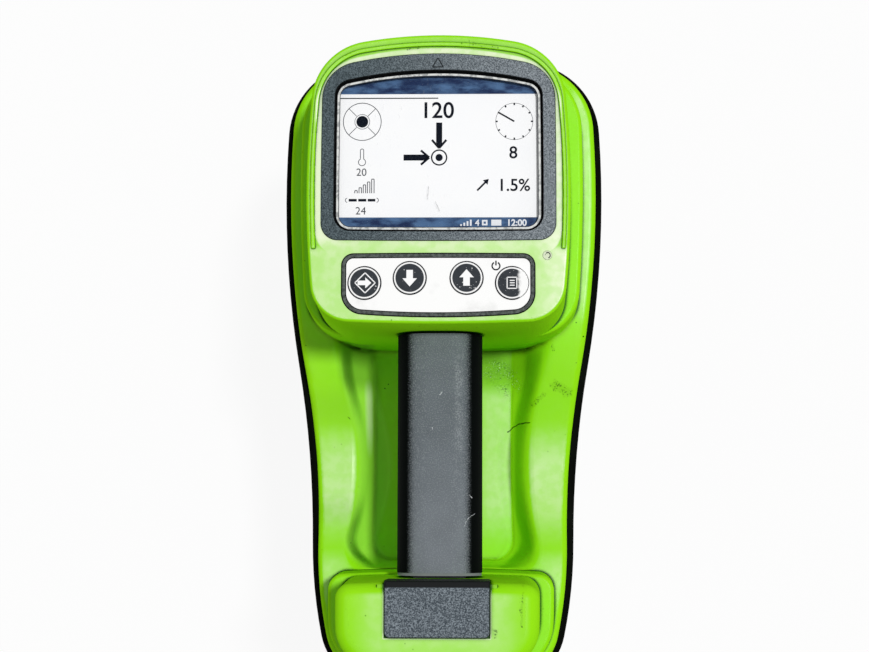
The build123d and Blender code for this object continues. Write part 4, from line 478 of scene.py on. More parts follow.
# %% Make the black finishes
def moulded(name, color, dust_color, grain_mm, depth_mm, roughness, dust, shine=0.012):
    """A moulded finish: grain of that size and depth, with dust in about that share of the surface."""
    finish, shader, place = start(name, IOR=1.48, Specular_IOR_Level=shine)
    film = fade(grain(place, 0.03, 6.0), 0.85 - dust, 1.25 - dust)
    film = film.most(specks(place, 2.4 * MM, 0.03) * 0.7)
    color = blend(film * 0.6, ink(*color), ink(*dust_color))
    pebbles = fade(cells(place, grain_mm * MM), 0.0, 0.75) * 0.6 + grain(place, grain_mm * MM * 0.6) * 0.4
    wear(shader, Base_Color=color, Roughness=roughness + film * 0.12 + grain(place, 0.01) * 0.08)
    wear(shader, Normal=relief(pebbles, depth_mm * MM, 0.7))
    return finish


dress(moulded("bumper_rubber", (7, 9, 6), (26, 30, 24), 0.5, 0.04, 0.55, 0.36), "edge_bumper")
dress(moulded("case_plastic", (23, 25, 24), (42, 44, 41), 1.1, 0.16, 0.4, 0.4, shine=0.22),
      "lower_case", "battery_door", "door_knob")
dress(moulded("foot_rubber", (22, 22, 22), (80, 76, 68), 0.8, 0.06, 0.75, 0.55, shine=0.2), "feet")
dress(moulded("seal_rubber", (30, 30, 32), (60, 60, 60), 0.4, 0.02, 0.6, 0.35), "door_seal")

# %% [markdown]
# ## The grip
# The bar grip is a moulded rubber sleeve, with a few pale nicks across it. Its top is grey, dulled by hands and
# with a painted sheen of the overhead lamp, while the rounded sides stay black, and a painted highlight runs
# along the right of the top. The grey band follows the way the surface faces, so it ends softly where the top
# rolls over.

# %% Make the grip rubber
GRIP_BLACK = ink(5, 8, 7)
# The grey of the top is wear and painted sheen; the shine colour is a painted highlight.
GRIP_WORN_AND_SHEEN = ink(104, 111, 116)
GRIP_PALE = ink(120, 126, 132)
GRIP_HIGHLIGHT = ink(166, 171, 174)
NICK = ink(196, 200, 203)
GRIP_NICKS = [
    (0.6, (0.2, -17.2), (1.2, -16.1)), (0.35, (12.6, -59.4), (13.9, -60.7)),
    (0.25, (10.6, -72.7), (12, -69.6)), (0.25, (12, -69.6), (15, -67.4)), (0.35, (-3, -31), (-2.8, -31.8)),
]
GRIP_HIGHLIGHT_STREAK = (5.0, (8.3, -2), (8.3, -50))
GRIP_PALE_Y = (-20, -90)

grip_rubber, shader, place = start("grip_rubber", IOR=1.45, Specular_IOR_Level=0.015)
fine = grain(place, 0.5 * MM, 4.0)
# The grey top is wear plus a painted sheen of the overhead lamp on faces that point up.
worn = facing_up(place, 0.73, 0.92, ragged=(fine - 0.5) * 0.16)
tone = blend(ramp(axis_of(place, 1), GRIP_PALE_Y), GRIP_WORN_AND_SHEEN, GRIP_PALE)
color = blend(worn * (0.8 + grain(place, 0.01) * 0.3), GRIP_BLACK, tone)
# A painted highlight along the right of the top, and painted glints on the grey.
highlight_streak = trail(place, *GRIP_HIGHLIGHT_STREAK) * fade(grain(place, 4 * MM), 0.3, 0.6)
shine = (worn * fade(fine, 0.48, 0.66) * 0.3).most(highlight_streak * fade(fine, 0.4, 0.6) * 0.5)
color = blend(shine, color, GRIP_HIGHLIGHT)
ragged = shaken(place, 1.0 * MM, 1.2 * MM)
nicks = reduce(Wire.most, (trail(ragged, *nick) for nick in GRIP_NICKS)) * fade(fine, 0.3, 0.55)
color = blend(nicks, color, NICK)
wear(shader, Base_Color=color, Roughness=0.5 + fine * 0.2, Normal=relief(fine, 0.08 * MM, 0.6))
dress(grip_rubber, "grip_sleeve")

# %% [markdown]
# ## Bezel and cap
# Both have a coarse spark-eroded texture whose tiny facets catch the light as speckles. The texture is a
# bump plus a difference in colour between its tops and its pits, so the pale tops are partly painted glints.
# The bezel's colours are painted paler towards the right, as lit by the lamp on that side. The cap's fold, at
# its front, is smooth.

# %% Make the speckled finishes
SPECKLE_SIDE = ink(9, 12, 13)
PAINTED_LIGHT_LEFT_TO_RIGHT = (-45, 45)


def speckled(name, pits, tops, size, depth, front):
    """A coarse grain of that size: dark pits, pale tops, each in a colour for the left and one for the right.

    The sides are smooth and black, and so is what lies in front of the given Y."""
    finish, shader, place = start(name, IOR=1.5, Specular_IOR_Level=0.1)
    coarse = grain(place, size, 8.0)
    fine = grain(place, size * 0.35, 2.0)
    rough = facing_up(place, 0.5, 0.9) * fade(axis_of(place, 1), front, front - 0.6 * MM)
    peaks = fade(coarse * 0.55 + fine * 0.45, 0.42, 0.6) * rough
    # Painted light: the colours for the right are paler, as lit by the lamp on that side.
    right = ramp(axis_of(place, 0), PAINTED_LIGHT_LEFT_TO_RIGHT)
    color = blend(rough, SPECKLE_SIDE, blend(peaks, blend(right, *pits), blend(right, *tops)))
    wear(shader, Base_Color=color, Roughness=0.6 - peaks * 0.12)
    wear(shader, Normal=relief(peaks, depth, 0.8))
    return finish


CAP_FOLD_MM = 2.4
BEZEL_PITS, BEZEL_TOPS = (ink(36, 46, 50), ink(74, 82, 88)), (ink(104, 118, 124), ink(164, 172, 178))
CAP_PITS, CAP_TOPS = (ink(54, 63, 70),) * 2, (ink(142, 152, 160),) * 2
dress(speckled("bezel_plastic", BEZEL_PITS, BEZEL_TOPS, 0.4 * MM, 0.06 * MM,
               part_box("display_bezel")[1].y + 1 * MM), "display_bezel")
dress(speckled("cap_rubber", CAP_PITS, CAP_TOPS, 0.6 * MM, 0.14 * MM,
               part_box("rear_cap")[1].y - CAP_FOLD_MM * MM), "rear_cap")

# %% [markdown]
# ## Window, seal and display
# The window is clear and scuffed: it is nearly see-through, with hair scratches that show a little more. The
# seal round it is black; the pale bonding line inside it is drawn further below. Under the window, the display
# shows a white page between a dark header and footer, which glows a little by its own backlight.

# %% Make the display finishes
HEADER_MM, FOOTER_MM = (107.8, 108.0), (55.7, 55.5)
NAVY = ink(80, 112, 152)
NAVY_DARK = ink(28, 44, 80)
PAGE_TONES = (ink(251, 252, 254), ink(255, 255, 255))
WINDOW_TINT, HAIR_TINT, SCRATCH_TINT = ink(120, 128, 134), ink(250, 250, 250), ink(140, 140, 138)
WINDOW_SCRATCHES = [(0.6, (-4.1, 68.4), (-4.6, 63.1)), (0.6, (-1.2, 61.9), (0.4, 58.2))]

window_glass, shader, place = start("window_glass", IOR=1.45, Roughness=0.06, Specular_IOR_Level=0.1)
window_glass.surface_render_method = "BLENDED"
hairs = fade(grain(vector("MULTIPLY", place, (1, 0.12, 1)), 0.5 * MM, 1.0), 0.7, 0.76)
hairs = hairs * fade(grain(place, 0.02), 0.5, 0.7)
deep = reduce(Wire.most, (trail(place, *scratch) for scratch in WINDOW_SCRATCHES))
deep = deep * fade(grain(place, 1 * MM), 0.3, 0.6)
tint = blend(deep, blend(hairs, WINDOW_TINT, HAIR_TINT), SCRATCH_TINT)
wear(shader, Base_Color=tint, Alpha=0.012 + hairs * 0.12 + deep * 0.22)
dress(window_glass, "display_window")
dress(moulded("seal_black", (6, 7, 8), (40, 42, 42), 0.4, 0.02, 0.5, 0.3), "window_gasket")

lcd_panel, shader, place = start("lcd_panel", Roughness=0.35, Emission_Strength=0.045, Specular_IOR_Level=0.02)
along = axis_of(place, 1)
clouds = grain(vector("MULTIPLY", place, (0.4, 1, 1)), 3 * MM, 6.0)
bar_color = blend(fade(clouds, 0.3, 0.68), NAVY_DARK, NAVY)
bars = ramp(along, HEADER_MM).most(ramp(along, FOOTER_MM))
color = blend(bars, blend(grain(place, 0.01), *PAGE_TONES), bar_color)
wear(shader, Base_Color=color, Emission_Color=color)
dress(lcd_panel, "lcd_module")

# %% [markdown]
# ## Keypad and keys
# The keypad is a white overlay in a raised black border, whose top is grey: partly rubbed, partly a painted
# highlight. Each round key is dark, with a white ring and a thin dark line round it; the menu key is rubbed
# white on its right half. All of it is print, so the rings are worked out from the distance to the key's
# middle.

# %% Make the keypad finishes
KEY_DISC_MM, KEY_LINE_MM = (6.02, 5.78), (6.38, 6.62)
RUB_REACH_MM = 5.0
RUB_RAGGED_MM = 3.0
KEY_DARK, KEY_GREY = ink(46, 50, 54), ink(60, 64, 70)
OVERLAY, OVERLAY_GRIME = ink(254, 254, 253), ink(170, 172, 168)
BORDER_BLACK, BORDER_GREY = ink(13, 15, 14), ink(98, 104, 101)
WORN_SIDES = {"key_enter": 0, "key_down": 0, "key_up": 0, "key_menu": 0.55}


def key_print(name, worn_side):
    """A key's print: dark disc, white ring, dark line. worn_side is the share rubbed off from the right."""
    low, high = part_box(name)
    finish, shader, place = start(name + "_print", IOR=1.45, Specular_IOR_Level=0.05)
    middle = (low + high) / 2
    flat = vector("MULTIPLY", vector("SUBTRACT", place, middle), (1, 1, 0))
    radius = vector("LENGTH", flat, flat, "Value")
    disc, line = ramp(radius, KEY_DISC_MM), ramp(radius, KEY_LINE_MM)
    rightward = axis_of(flat, 0) + (grain(place, 2 * MM) - 0.5) * (RUB_RAGGED_MM * MM)
    rub = ramp(rightward, ((1 - worn_side) * RUB_REACH_MM, (1.3 - worn_side) * RUB_REACH_MM))
    rub = rub * float(worn_side > 0)
    chips = fade(grain(place, 0.8 * MM, 3.0), 0.68, 0.72)
    dark = disc.most(line) * (1 - rub.most(chips * 0.7))
    tone = blend(grain(place, 2 * MM), KEY_DARK, KEY_GREY)
    wear(shader, Base_Color=blend(dark, OVERLAY, tone), Roughness=0.4 + grain(place, 3 * MM) * 0.15)
    wear(shader, Normal=relief(grain(place, 0.4 * MM), 0.03 * MM, 0.5))
    return finish


for key_name, worn_side in WORN_SIDES.items():
    dress(key_print(key_name, worn_side), key_name)

overlay_white, shader, place = start("overlay_white", IOR=1.5, Specular_IOR_Level=0.08)
grime = fade(grain(place, 0.01, 4.0), 0.55, 0.8) * 0.25 + specks(place, 2 * MM, 0.02) * 0.6
wear(shader, Base_Color=blend(grime, OVERLAY, OVERLAY_GRIME), Roughness=0.35 + grime * 0.3)
wear(shader, Normal=relief(grain(place, 0.6 * MM), 0.02 * MM, 0.4))
dress(overlay_white, "keypad_panel")

keypad_edge, shader, place = start("keypad_edge", IOR=1.48, Specular_IOR_Level=0.02)
rounded = place.node("ShaderNodeBevel", {"samples": 8}, {"Radius": 0.6 * MM})
rubbed = 0.45 + fade(grain(place, 1.4 * MM, 4.0), 0.35, 0.65) * 0.55
# Painted highlight, partly rubbing: the top of the border, where it faces up, is grey.
crest_rub_and_highlight = fade(axis_of(rounded, 2), 0.9, 0.98) * rubbed
wear(shader, Base_Color=blend(crest_rub_and_highlight, BORDER_BLACK, BORDER_GREY), Roughness=0.5 - crest_rub_and_highlight * 0.1)
wear(shader, Normal=relief(grain(place, 0.5 * MM), 0.04 * MM, 0.6))
dress(keypad_edge, "keypad_frame")
dress(moulded("sensor_lens", (222, 232, 202), (166, 178, 150), 0.4, 0.02, 0.2, 0.3), "light_sensor")
dress(moulded("collar_plastic", (126, 130, 131), (92, 95, 94), 0.5, 0.03, 0.45, 0.4), "grip_collar")

# %% [markdown]
# ## What is inside
# Hidden pieces get finishes too: they show when the door is open, and in an exploded view. Boards have
# copper tracks under a green mask, windings show their turns as fine ribs, and metal is brushed.

# %% Make the inner finishes
TRACK_SCALE = 160.0
TURN_SCALE = 500.0


def metal(name, color, brushing, roughness):
    """Brushed metal: noise drawn out along one axis, in colour and roughness."""
    finish, shader, place = start(name, Metallic=1.0)
    brush = grain(vector("MULTIPLY", place, brushing), 0.4 * MM, 3.0)
    tarnish = fade(grain(place, 4 * MM), 0.45, 0.75)
    bright = ink(*color)
    dull = tuple(0.6 * part for part in bright[:3]) + (1.0,)
    wear(shader, Base_Color=blend(tarnish * 0.7, bright, dull), Roughness=roughness + brush * 0.25)
    wear(shader, Normal=relief(brush, 0.01 * MM, 0.4))
    return finish


def board(name):
    """Solder mask over tracks: bands in two directions, cut into runs by cells."""
    finish, shader, place = start(name, IOR=1.5)
    lanes, ties = (
        place.node("ShaderNodeTexWave", {"bands_direction": axis}, {"Vector": place, "Scale": TRACK_SCALE})
        for axis in "XY"
    )
    patch = fade(cells(place, 9 * MM, "Color"), 0.45, 0.5)
    tracks = fade(lanes, 0.6, 0.7) * patch + fade(ties, 0.6, 0.7) * (1 - patch)
    pads = fade(cells(place, 3 * MM), 0.24, 0.2)
    color = blend(tracks, ink(16, 74, 34), ink(40, 112, 58))
    wear(shader, Base_Color=blend(pads, color, ink(196, 190, 160)), Roughness=0.38 - pads * 0.1)
    wear(shader, Normal=relief(tracks.most(pads), 0.04 * MM))
    return finish


def wound(name, across_turns):
    """Copper wire wound in turns: fine ribs along the winding's own axis."""
    finish, shader, place = start(name, Metallic=0.85)
    turns = place.node("ShaderNodeTexWave", {"bands_direction": across_turns},
                       {"Vector": place, "Scale": TURN_SCALE, "Distortion": 0.4})
    tone = blend(turns * (0.7 + grain(place, 3 * MM) * 0.3), ink(96, 44, 18), ink(206, 128, 70))
    wear(shader, Base_Color=tone, Roughness=0.3 + grain(place, 2 * MM) * 0.2)
    wear(shader, Normal=relief(turns, 0.2 * MM))
    return finish


dress(metal("screw_steel", (176, 178, 182), (1, 1, 0.1), 0.25), "housing_screws", "case_screws",
      "board_screws", "handle_bolts", "door_pin")
dress(metal("core_anodised", (36, 37, 40), (1, 0.05, 1), 0.4), "handle_core")
dress(metal("dome_steel", (210, 210, 208), (1, 1, 1), 0.22), "key_domes")
dress(metal("contact_brass", (222, 186, 110), (1, 0.2, 1), 0.25), "battery_contacts")
dress(board("board_laminate"), "main_board", "keypad_board", "telemetry_antenna")
dress(moulded("chip_epoxy", (34, 34, 36), (70, 70, 72), 0.4, 0.02, 0.5, 0.3), "board_chips",
      "board_header", "beeper")
dress(moulded("ferrite", (54, 54, 57), (96, 94, 90), 0.7, 0.05, 0.5, 0.4), "lateral_rod",
      "fore_aft_rod", "vertical_rod")
for winding, axis in {"lateral_winding": "X", "fore_aft_winding": "Y", "vertical_winding": "Z"}.items():
    dress(wound(winding + "_copper", axis), winding)
dress(moulded("frame_plastic", (128, 131, 134), (160, 160, 156), 0.8, 0.05, 0.5, 0.35),
      "antenna_frame", "battery_box")
dress(moulded("pack_plastic", (44, 46, 50), (88, 88, 86), 0.9, 0.06, 0.45, 0.4), "battery_pack")
dress(moulded("lead_jacket", (150, 26, 24), (96, 60, 56), 0.6, 0.03, 0.4, 0.35), "power_lead")

# %% [markdown]
# ## Printed shapes
# The signs on the keys and the figures on the display are flat ink. Each sign is worked out as points in
# plan, given a hair of thickness with a Solidify modifier, and laid on the piece that carries it, so
# that it rides with a key when the key is pressed.

# %% Shapes in plan
def ring(spot, inner, outer, first=0.0, last=360.0, steps=48):
    """A flat ring or arc: the radius runs from inner to outer, the angle from first to last, in degrees."""
    whole = abs(last - first) >= 360
    angles = np.radians(np.linspace(first, last, steps, endpoint=not whole))
    radii = np.array([inner, outer])
    points = np.stack([np.outer(np.cos(angles), radii), np.outer(np.sin(angles), radii)], -1).reshape(-1, 2)
    index = np.arange(steps if whole else steps - 1)
    after = (index + 1) % steps
    quads = np.stack([2 * index, 2 * index + 1, 2 * after + 1, 2 * after], -1)
    return points + np.array(spot), quads.tolist()


def disc(spot, radius, steps=48):
    """A flat disc as one face, from points at equal angles."""
    angles = np.linspace(0, 2 * np.pi, steps, endpoint=False)
    return np.array(spot) + radius * np.stack([np.cos(angles), np.sin(angles)], -1), [list(range(steps))]


def bar(begin, end, width):
    """A straight bar from begin to end."""
    begin, end = np.array(begin, float), np.array(end, float)
    along = (end - begin) / np.linalg.norm(end - begin)
    side = np.array([-along[1], along[0]]) * width / 2
    return np.array([begin - side, end - side, end + side, begin + side]), [[0, 1, 2, 3]]


def arrow(tail, tip, shaft, head, head_length):
    """An arrow from tail to tip, with a shaft and a head of those widths."""
    tail, tip = np.array(tail, float), np.array(tip, float)
    along = (tip - tail) / np.linalg.norm(tip - tail)
    side = np.array([-along[1], along[0]])
    neck = tip - along * head_length
    points = [tail - side * shaft / 2, neck - side * shaft / 2, neck - side * head / 2, tip,
              neck + side * head / 2, neck + side * shaft / 2, tail + side * shaft / 2]
    return np.array(points), [list(range(7))]


def barbed(tail, tip, shaft, reach, barb):
    """An arrow with a solid point as wide as its shaft and two barbs of that reach and width."""
    tail, tip = np.array(tail, float), np.array(tip, float)
    along = (tip - tail) / np.linalg.norm(tip - tail)
    side = np.array([-along[1], along[0]])
    ends = [tip - (along - way * side) * reach for way in (1, -1)]
    barbs = [bar(tip + along * barb / 2, end, barb) for end in ends]
    return [arrow(tail, tip, shaft, shaft, shaft / 2)] + barbs


def outline(corners, width):
    """Bars along the closed line through the corners."""
    return [bar(begin, end, width) for begin, end in zip(corners, corners[1:] + corners[:1])]


def polar(spot, radius, degrees):
    """The point at that radius and angle round a spot."""
    turn = math.radians(degrees)
    return np.array(spot) + radius * np.array([math.cos(turn), math.sin(turn)])


def digits(text, spot, height, weight=0.012):
    """Plain figures of that height with their middle at the spot, from Blender's own typeface.

    Their strokes are made thicker by weight, a share of the type's size, on each side."""
    curve = bpy.data.curves.new("figures", "FONT")
    curve.body = text
    curve.offset = weight
    holder = bpy.data.objects.new("figures", curve)
    mesh = bpy.data.meshes.new_from_object(holder)
    points = np.array([vertex.co[:2] for vertex in mesh.vertices])
    faces = [list(face.vertices) for face in mesh.polygons]
    low, high = points.min(0), points.max(0)
    bpy.data.objects.remove(holder)
    return (points - (low + high) / 2) * height / (high[1] - low[1]) + np.array(spot), faces


def printed(name, shapes, level, body, finish, thickness=0.08):
    """Lays shapes, in millimetres, on a carrier: their tops lie at level plus the thickness."""
    counts = np.cumsum([0] + [len(points) for points, _ in shapes])
    points = np.concatenate([points for points, _ in shapes]) * MM
    faces = [[int(v) + int(count) for v in face] for (_, fs), count in zip(shapes, counts) for face in fs]
    top = np.full((len(points), 1), (level + thickness) * MM)
    mesh = bpy.data.meshes.new(name)
    mesh.from_pydata(np.hstack([points, top]).tolist(), [], faces)
    mesh.materials.append(finish)
    piece = bpy.data.objects.new(name, mesh)
    bpy.context.scene.collection.objects.link(piece)
    solid = piece.modifiers.new("thickness", "SOLIDIFY")
    solid.thickness = thickness * MM
    solid.offset = -1.0
    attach(piece, body)
    print(name, "has", len(faces), "faces")
    return piece


def print_ink(name, color, worn_color, worn):
    """Ink that has rubbed thin in about that share of its surface."""
    finish, shader, place = start(name, IOR=1.45, Specular_IOR_Level=0.02)
    thin = fade(grain(place, 1.2 * MM, 4.0), 1 - worn, 1.2 - worn)
    color = blend(thin * 0.6, ink(*color), ink(*worn_color))
    wear(shader, Base_Color=color, Roughness=0.4 + thin * 0.2)
    return finish


# %% [markdown]
# ## The display's figures
# The page shows plain readings: a centring ring, a number with arrows to a target, a clock dial, a slope, a
# thermometer and signal bars. Their places and sizes are pixels of the photograph, turned into millimetres on
# the display.

# %% Draw the display's figures
SCREEN_ORIGIN_PIXEL = (438.6, 80.0)
SCREEN_ORIGIN_Y = 114.0
SCREEN_MM_PER_PIXEL = (0.4195, 0.4243)
LCD_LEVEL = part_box("lcd_module")[1].z / MM


def on_screen(across, down):
    """A place on the display in millimetres, from a pixel of the photograph."""
    return np.array([(across - SCREEN_ORIGIN_PIXEL[0]) * SCREEN_MM_PER_PIXEL[0],
                     SCREEN_ORIGIN_Y - (down - SCREEN_ORIGIN_PIXEL[1]) * SCREEN_MM_PER_PIXEL[1]])


def px(*sizes):
    """Sizes in pixels of the photograph, in millimetres."""
    return [size * SCREEN_MM_PER_PIXEL[0] for size in sizes]


def spokes(spot, radii, width, turns):
    """Bars from the inner to the outer of two radii round a spot, at those angles."""
    inner, outer = px(*radii)
    return [bar(polar(spot, inner, turn), polar(spot, outer, turn), *px(width)) for turn in turns]


# Places, from pixels of the photograph.
CENTRING, TARGET, DIAL = on_screen(362, 122), on_screen(439, 158), on_screen(514, 122)
NUMBER, COUNT, SLOPE = on_screen(439, 110.5), on_screen(513, 153), on_screen(515, 185.5)
THERMOMETER, WARMTH, CHARGE = on_screen(362, 158), on_screen(361.5, 172.5), on_screen(361, 211)
RULE = on_screen(340, 98.5), on_screen(438, 98.5)
SLOPE_ARROW = on_screen(477, 191), on_screen(488.5, 179.5)
DOWN_ARROW = on_screen(439, 123), on_screen(439, 147.5)
RIGHT_ARROW = on_screen(403.5, 158), on_screen(428, 158)
DASH_ROW, DASH_COLUMNS, BRACKET_COLUMNS = 200.5, [(349, 357), (358.5, 366.5), (368, 375.5)], (347.8, 376.4)
SIGNAL_COLUMN, SIGNAL_STEP, SIGNAL_ROW = 355, 4.2, 193.5
STATUS_ROW = 223
CLOCK, SQUARE, FOUR = (on_screen(column, STATUS_ROW) for column in (517, 484.5, 477))
BATTERY = on_screen(491, STATUS_ROW), on_screen(501, STATUS_ROW)
STRENGTH_COLUMN, STRENGTH_STEP, STRENGTH_ROW, STRENGTH_TOP, STRENGTH_RISE = 461, 3.2, 226.2, 224.5, 1.5

# Sizes, in the same pixels.
NUMBER_SIZE, COUNT_SIZE, SMALL_SIZE, CLOCK_SIZE, FOUR_SIZE = 16.5, 12.5, 7.5, 6.8, 6.4
CENTRING_DOT, CENTRING_INNER, CENTRING_SPOKE, CENTRING_OUTER = 5.9, (7.2, 7.7), (8, 18.5), (18.6, 19.3)
TARGET_DOT, TARGET_RING = 3.6, (6.8, 8.2)
DIAL_RING, DIAL_TICK, DIAL_HAND, DIAL_HAND_DEGREES = (18.3, 18.7), (16.5, 18.8), 18.5, 150
BULB_RING, STEM_RING, BRACKET_RING, SQUARE_RING = (3.2, 3.9), (1.3, 2.0), (1.9, 2.5), (1.6, 3.9)
ARROW_SIZES, SLOPE_ARROW_SIZES = (6.0, 7.2, 2.2), (1.8, 6.5, 5)
SIGNAL_WIDTH, SIGNAL_LOW, SIGNAL_RISE = 2.4, 2.6, 2.9
BULB, STEM_LOW, STEM_TOP, STEM_SIDE = (0, -4.6), (0, -1.5), (0, 7.2), (1.65, 0)
bulb, stem_low, stem_top, stem_side = (np.array(px(*way)) for way in (BULB, STEM_LOW, STEM_TOP, STEM_SIDE))

dark_shapes = [
    bar(*RULE, *px(1.0)),
    disc(CENTRING, *px(CENTRING_DOT)),
    digits("120", NUMBER, *px(NUMBER_SIZE)),
    ring(TARGET, *px(*TARGET_RING)),
    disc(TARGET, *px(TARGET_DOT)),
    bar(DIAL, polar(DIAL, *px(DIAL_HAND), DIAL_HAND_DEGREES), *px(1.6)),
    digits("8", COUNT, *px(COUNT_SIZE)),
    digits("1.5%", SLOPE, *px(COUNT_SIZE)),
    arrow(*SLOPE_ARROW, *px(*SLOPE_ARROW_SIZES)),
]
for first, last in DASH_COLUMNS:
    dark_shapes.append(bar(on_screen(first, DASH_ROW), on_screen(last, DASH_ROW), *px(2.6)))
dark_shapes += barbed(*DOWN_ARROW, *px(*ARROW_SIZES)) + barbed(*RIGHT_ARROW, *px(*ARROW_SIZES))
dark_shapes += spokes(DIAL, DIAL_TICK, 1.5, range(0, 360, 30))

left_bracket, right_bracket = (on_screen(column, DASH_ROW) for column in BRACKET_COLUMNS)
fine_shapes = [
    ring(CENTRING, *px(*CENTRING_OUTER), steps=72),
    ring(DIAL, *px(*DIAL_RING), steps=72),
    ring(CENTRING, *px(*CENTRING_INNER)),
    ring(THERMOMETER + bulb, *px(*BULB_RING), 115, 425),
    ring(THERMOMETER + stem_top, *px(*STEM_RING), 0, 180, 16),
    digits("20", WARMTH, *px(SMALL_SIZE), 0),
    digits("24", CHARGE, *px(SMALL_SIZE), 0),
    ring(left_bracket, *px(*BRACKET_RING), 100, 260, 12),
    ring(right_bracket, *px(*BRACKET_RING), -80, 80, 12),
]
for line in (THERMOMETER + stem_side, THERMOMETER - stem_side):
    fine_shapes.append(bar(line + stem_low, line + stem_top, *px(0.7)))
fine_shapes += spokes(CENTRING, CENTRING_SPOKE, 0.6, (45, 135, 225, 315))
for step in range(5):
    left = on_screen(SIGNAL_COLUMN + SIGNAL_STEP * step, SIGNAL_ROW)
    wide, tall = np.diag(px(SIGNAL_WIDTH, SIGNAL_LOW + SIGNAL_RISE * step))
    fine_shapes += [bar(left, left + tall, *px(0.8)), bar(left + wide, left + wide + tall, *px(0.8)),
                    bar(left + tall, left + wide + tall, *px(0.8))]

pale_shapes = [
    digits("12:00", CLOCK, *px(CLOCK_SIZE), 0.03),
    bar(*BATTERY, *px(6.0)),
    ring(SQUARE, *px(*SQUARE_RING), 45, 405, 4),
    digits("4", FOUR, *px(FOUR_SIZE), 0.02),
]
for step in range(4):
    column, top = STRENGTH_COLUMN + STRENGTH_STEP * step, STRENGTH_TOP - STRENGTH_RISE * step
    pale_shapes.append(bar(on_screen(column, STRENGTH_ROW), on_screen(column, top), *px(1.8)))
screen_dark = print_ink("screen_dark", (4, 10, 24), (24, 34, 54), 0.35)
screen_fine = print_ink("screen_fine", (56, 60, 66), (104, 108, 114), 0.45)
screen_pale = print_ink("screen_pale", (240, 243, 248), (190, 200, 214), 0.35)
printed("screen_figures", dark_shapes, LCD_LEVEL, "case", screen_dark)
printed("screen_lines", fine_shapes, LCD_LEVEL, "case", screen_fine, 0.06)
printed("screen_status", pale_shapes, LCD_LEVEL, "case", screen_pale)

# %% [markdown]
# ## The pale line round the window
# A silvery bonding line, rubbed and dirty in places, runs round the window just inside its black seal, with a
# hair of shade on its inner side. It follows the seal's own inner edge: the faces of the seal that look
# towards its middle give that edge, and each point of it moves in along its normal.

# %% Draw the window's line
SILVER_MM = (0.1, 0.95)
SHADE_MM = (0.95, 1.25)
SILVER_DULL, SILVER_BRIGHT = ink(150, 153, 152), ink(226, 228, 225)


def inner_edge(name):
    """The inner edge of a flat ring in plan, in millimetres, as points in order of angle round its middle."""
    mesh = nodes[name].data
    normals, middles = np.empty(len(mesh.polygons) * 3), np.empty(len(mesh.polygons) * 3)
    mesh.polygons.foreach_get("normal", normals)
    mesh.polygons.foreach_get("center", middles)
    spots = np.empty(len(mesh.vertices) * 3)
    mesh.vertices.foreach_get("co", spots)
    normals, middles, spots = (values.reshape(-1, 3) for values in (normals, middles, spots))
    centre = (spots.min(0) + spots.max(0)) / 2
    inward = ((middles - centre)[:, :2] * normals[:, :2]).sum(1) < -0.1 * np.abs(middles - centre)[:, :2].max(1)
    chosen = sorted({v for face in np.flatnonzero(inward) for v in mesh.polygons[int(face)].vertices})
    points = np.unique(np.round(spots[chosen, :2] / MM, 3), axis=0)
    turn = np.arctan2(*(points - centre[:2] / MM).T[::-1])
    return points[np.argsort(turn)]


def band(points, near, far):
    """A closed band that lies from near to far inside a loop of points that runs anticlockwise."""
    run = np.roll(points, -1, 0) - np.roll(points, 1, 0)
    inward = np.stack([-run[:, 1], run[:, 0]], -1) / np.linalg.norm(run, axis=1)[:, None]
    index = np.arange(len(points))
    after = np.roll(index, -1)
    quads = np.stack([index, after, after + len(points), index + len(points)], -1)
    return np.concatenate([points + inward * near, points + inward * far]), quads.tolist()


seal_pale, shader, place = start("seal_pale", IOR=1.45)
rubbed = fade(grain(place, 2.0 * MM, 4.0), 0.36, 0.56)
wear(shader, Base_Color=blend(rubbed, SILVER_DULL, SILVER_BRIGHT), Roughness=0.35 + rubbed * 0.2)
wear(shader, Normal=relief(rubbed, 0.1 * MM))
WINDOW_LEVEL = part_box("display_window")[1].z / MM
seal_edge = inner_edge("window_gasket")
printed("window_line", [band(seal_edge, *SILVER_MM)], WINDOW_LEVEL, "case", seal_pale, 0.1)
printed("window_shade", [band(seal_edge, *SHADE_MM)], WINDOW_LEVEL, "case", screen_fine, 0.05)

# %% [markdown]
# ## Signs on the keys and the bezel
# White signs on the dark keys: a confirm sign, down, up and a list. A power sign is printed beside the menu
# key, two dark arcs of painted shade lie on the light sensor's clear dome, and a small triangle in the bezel
# points to the front of the locator.

# %% Draw the signs
UP_DOWN_MM = (3.3, 3.6, 2.7, 6.0, 3.4)
CONFIRM_MM = (2.8, 2.9, 1.9, 4.6, 2.5)
DIAMOND_RIGHT_MM, DIAMOND_MM = 0.3, 4.2
LIST_FIRST_MM, LIST_LAST_MM, LIST_ROWS_MM = -0.9, 1.1, (-1.0, 0.0, 1.0)
SHEET_MM = [(-2, -2.3), (2, -2.3), (2, 2.3), (-2, 2.3)]
TRIANGLE_MM = [(-2.25, -1.95), (2.25, -1.95), (0, 1.95)]
LINE_MM, LIST_LINE_MM = 0.45, 0.4
POWER_SPOT = np.array([23.9, 34.5])
TRIANGLE_SPOT = np.array([-0.3, 120.2])
SENSOR_GLINT = np.array([-0.3, 0.2])

# Arcs of rings: the inner and outer radius in millimetres, then the first and last angle.
LENS_SHADE_ARC, GLINT_ARC, POWER_ARC = (1.0, 1.4, -70, 110), (0.45, 0.6, 30, 200), (1.3, 1.9, 120, 420)
POWER_BAR_MM, POWER_BAR_WIDTH_MM = (0.2, 2.2), 0.6


def key_middle(name):
    """The middle of a piece in plan, in millimetres."""
    low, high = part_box(name)
    return np.array([(low.x + high.x) / 2, (low.y + high.y) / 2]) / MM


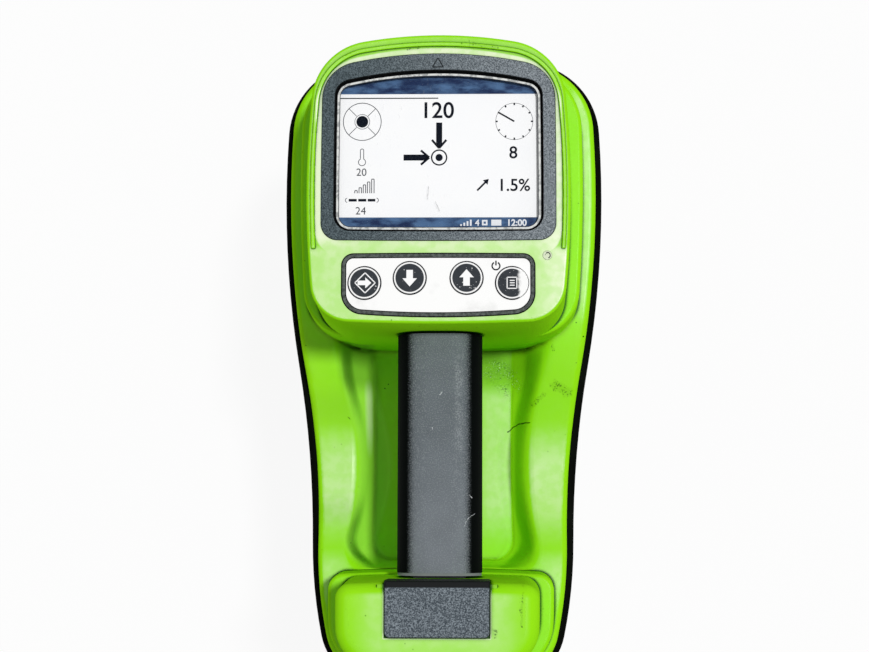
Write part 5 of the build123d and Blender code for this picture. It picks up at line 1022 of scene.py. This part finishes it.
def key_arrow(spot, way, tail, tip, *sizes):
    """An arrow across a key: its tail and tip lie that far from the key's middle."""
    return arrow(spot - way * tail, spot + way * tip, *sizes)


sign_white = print_ink("sign_white", (254, 254, 254), (222, 224, 226), 0.25)
sign_dark = print_ink("sign_dark", (38, 42, 44), (90, 94, 94), 0.4)
enter, down, upper, menu = (key_middle(name) for name in ("key_enter", "key_down", "key_up", "key_menu"))
right, up = np.array([1.0, 0.0]), np.array([0.0, 1.0])
diamond = [polar(enter + right * DIAMOND_RIGHT_MM, DIAMOND_MM, turn) for turn in (0, 90, 180, 270)]
rows = [menu + up * row for row in LIST_ROWS_MM]
list_lines = [bar(row + right * LIST_FIRST_MM, row + right * LIST_LAST_MM, LIST_LINE_MM) for row in rows]
signs = {
    "key_enter": [key_arrow(enter, right, *CONFIRM_MM)] + outline(diamond, LINE_MM),
    "key_down": [key_arrow(down, -up, *UP_DOWN_MM)],
    "key_up": [key_arrow(upper, up, *UP_DOWN_MM)],
    "key_menu": list_lines + outline([menu + np.array(corner) for corner in SHEET_MM], LIST_LINE_MM),
}
for name, shapes in signs.items():
    printed(name + "_sign", shapes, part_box(name)[1].z / MM, name, sign_white, 0.05)

# Painted shade on the light sensor's clear dome: a dark arc on one side and a small dark arc by its glint.
sensor = key_middle("light_sensor")
lens_shade_shapes = [ring(sensor, *LENS_SHADE_ARC), ring(sensor + SENSOR_GLINT, *GLINT_ARC, 16)]
printed("sensor_shade_arcs", lens_shade_shapes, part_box("light_sensor")[1].z / MM, "case", sign_dark, 0.04)
power_bar = bar(*(POWER_SPOT + up * end for end in POWER_BAR_MM), POWER_BAR_WIDTH_MM)
power = [ring(POWER_SPOT, *POWER_ARC), power_bar]
printed("power_sign", power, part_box("keypad_panel")[1].z / MM, "case", sign_dark, 0.05)
triangle = outline([TRIANGLE_SPOT + np.array(corner) for corner in TRIANGLE_MM], LINE_MM)
printed("front_mark", triangle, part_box("display_bezel")[1].z / MM, "case", sign_dark, 0.05)
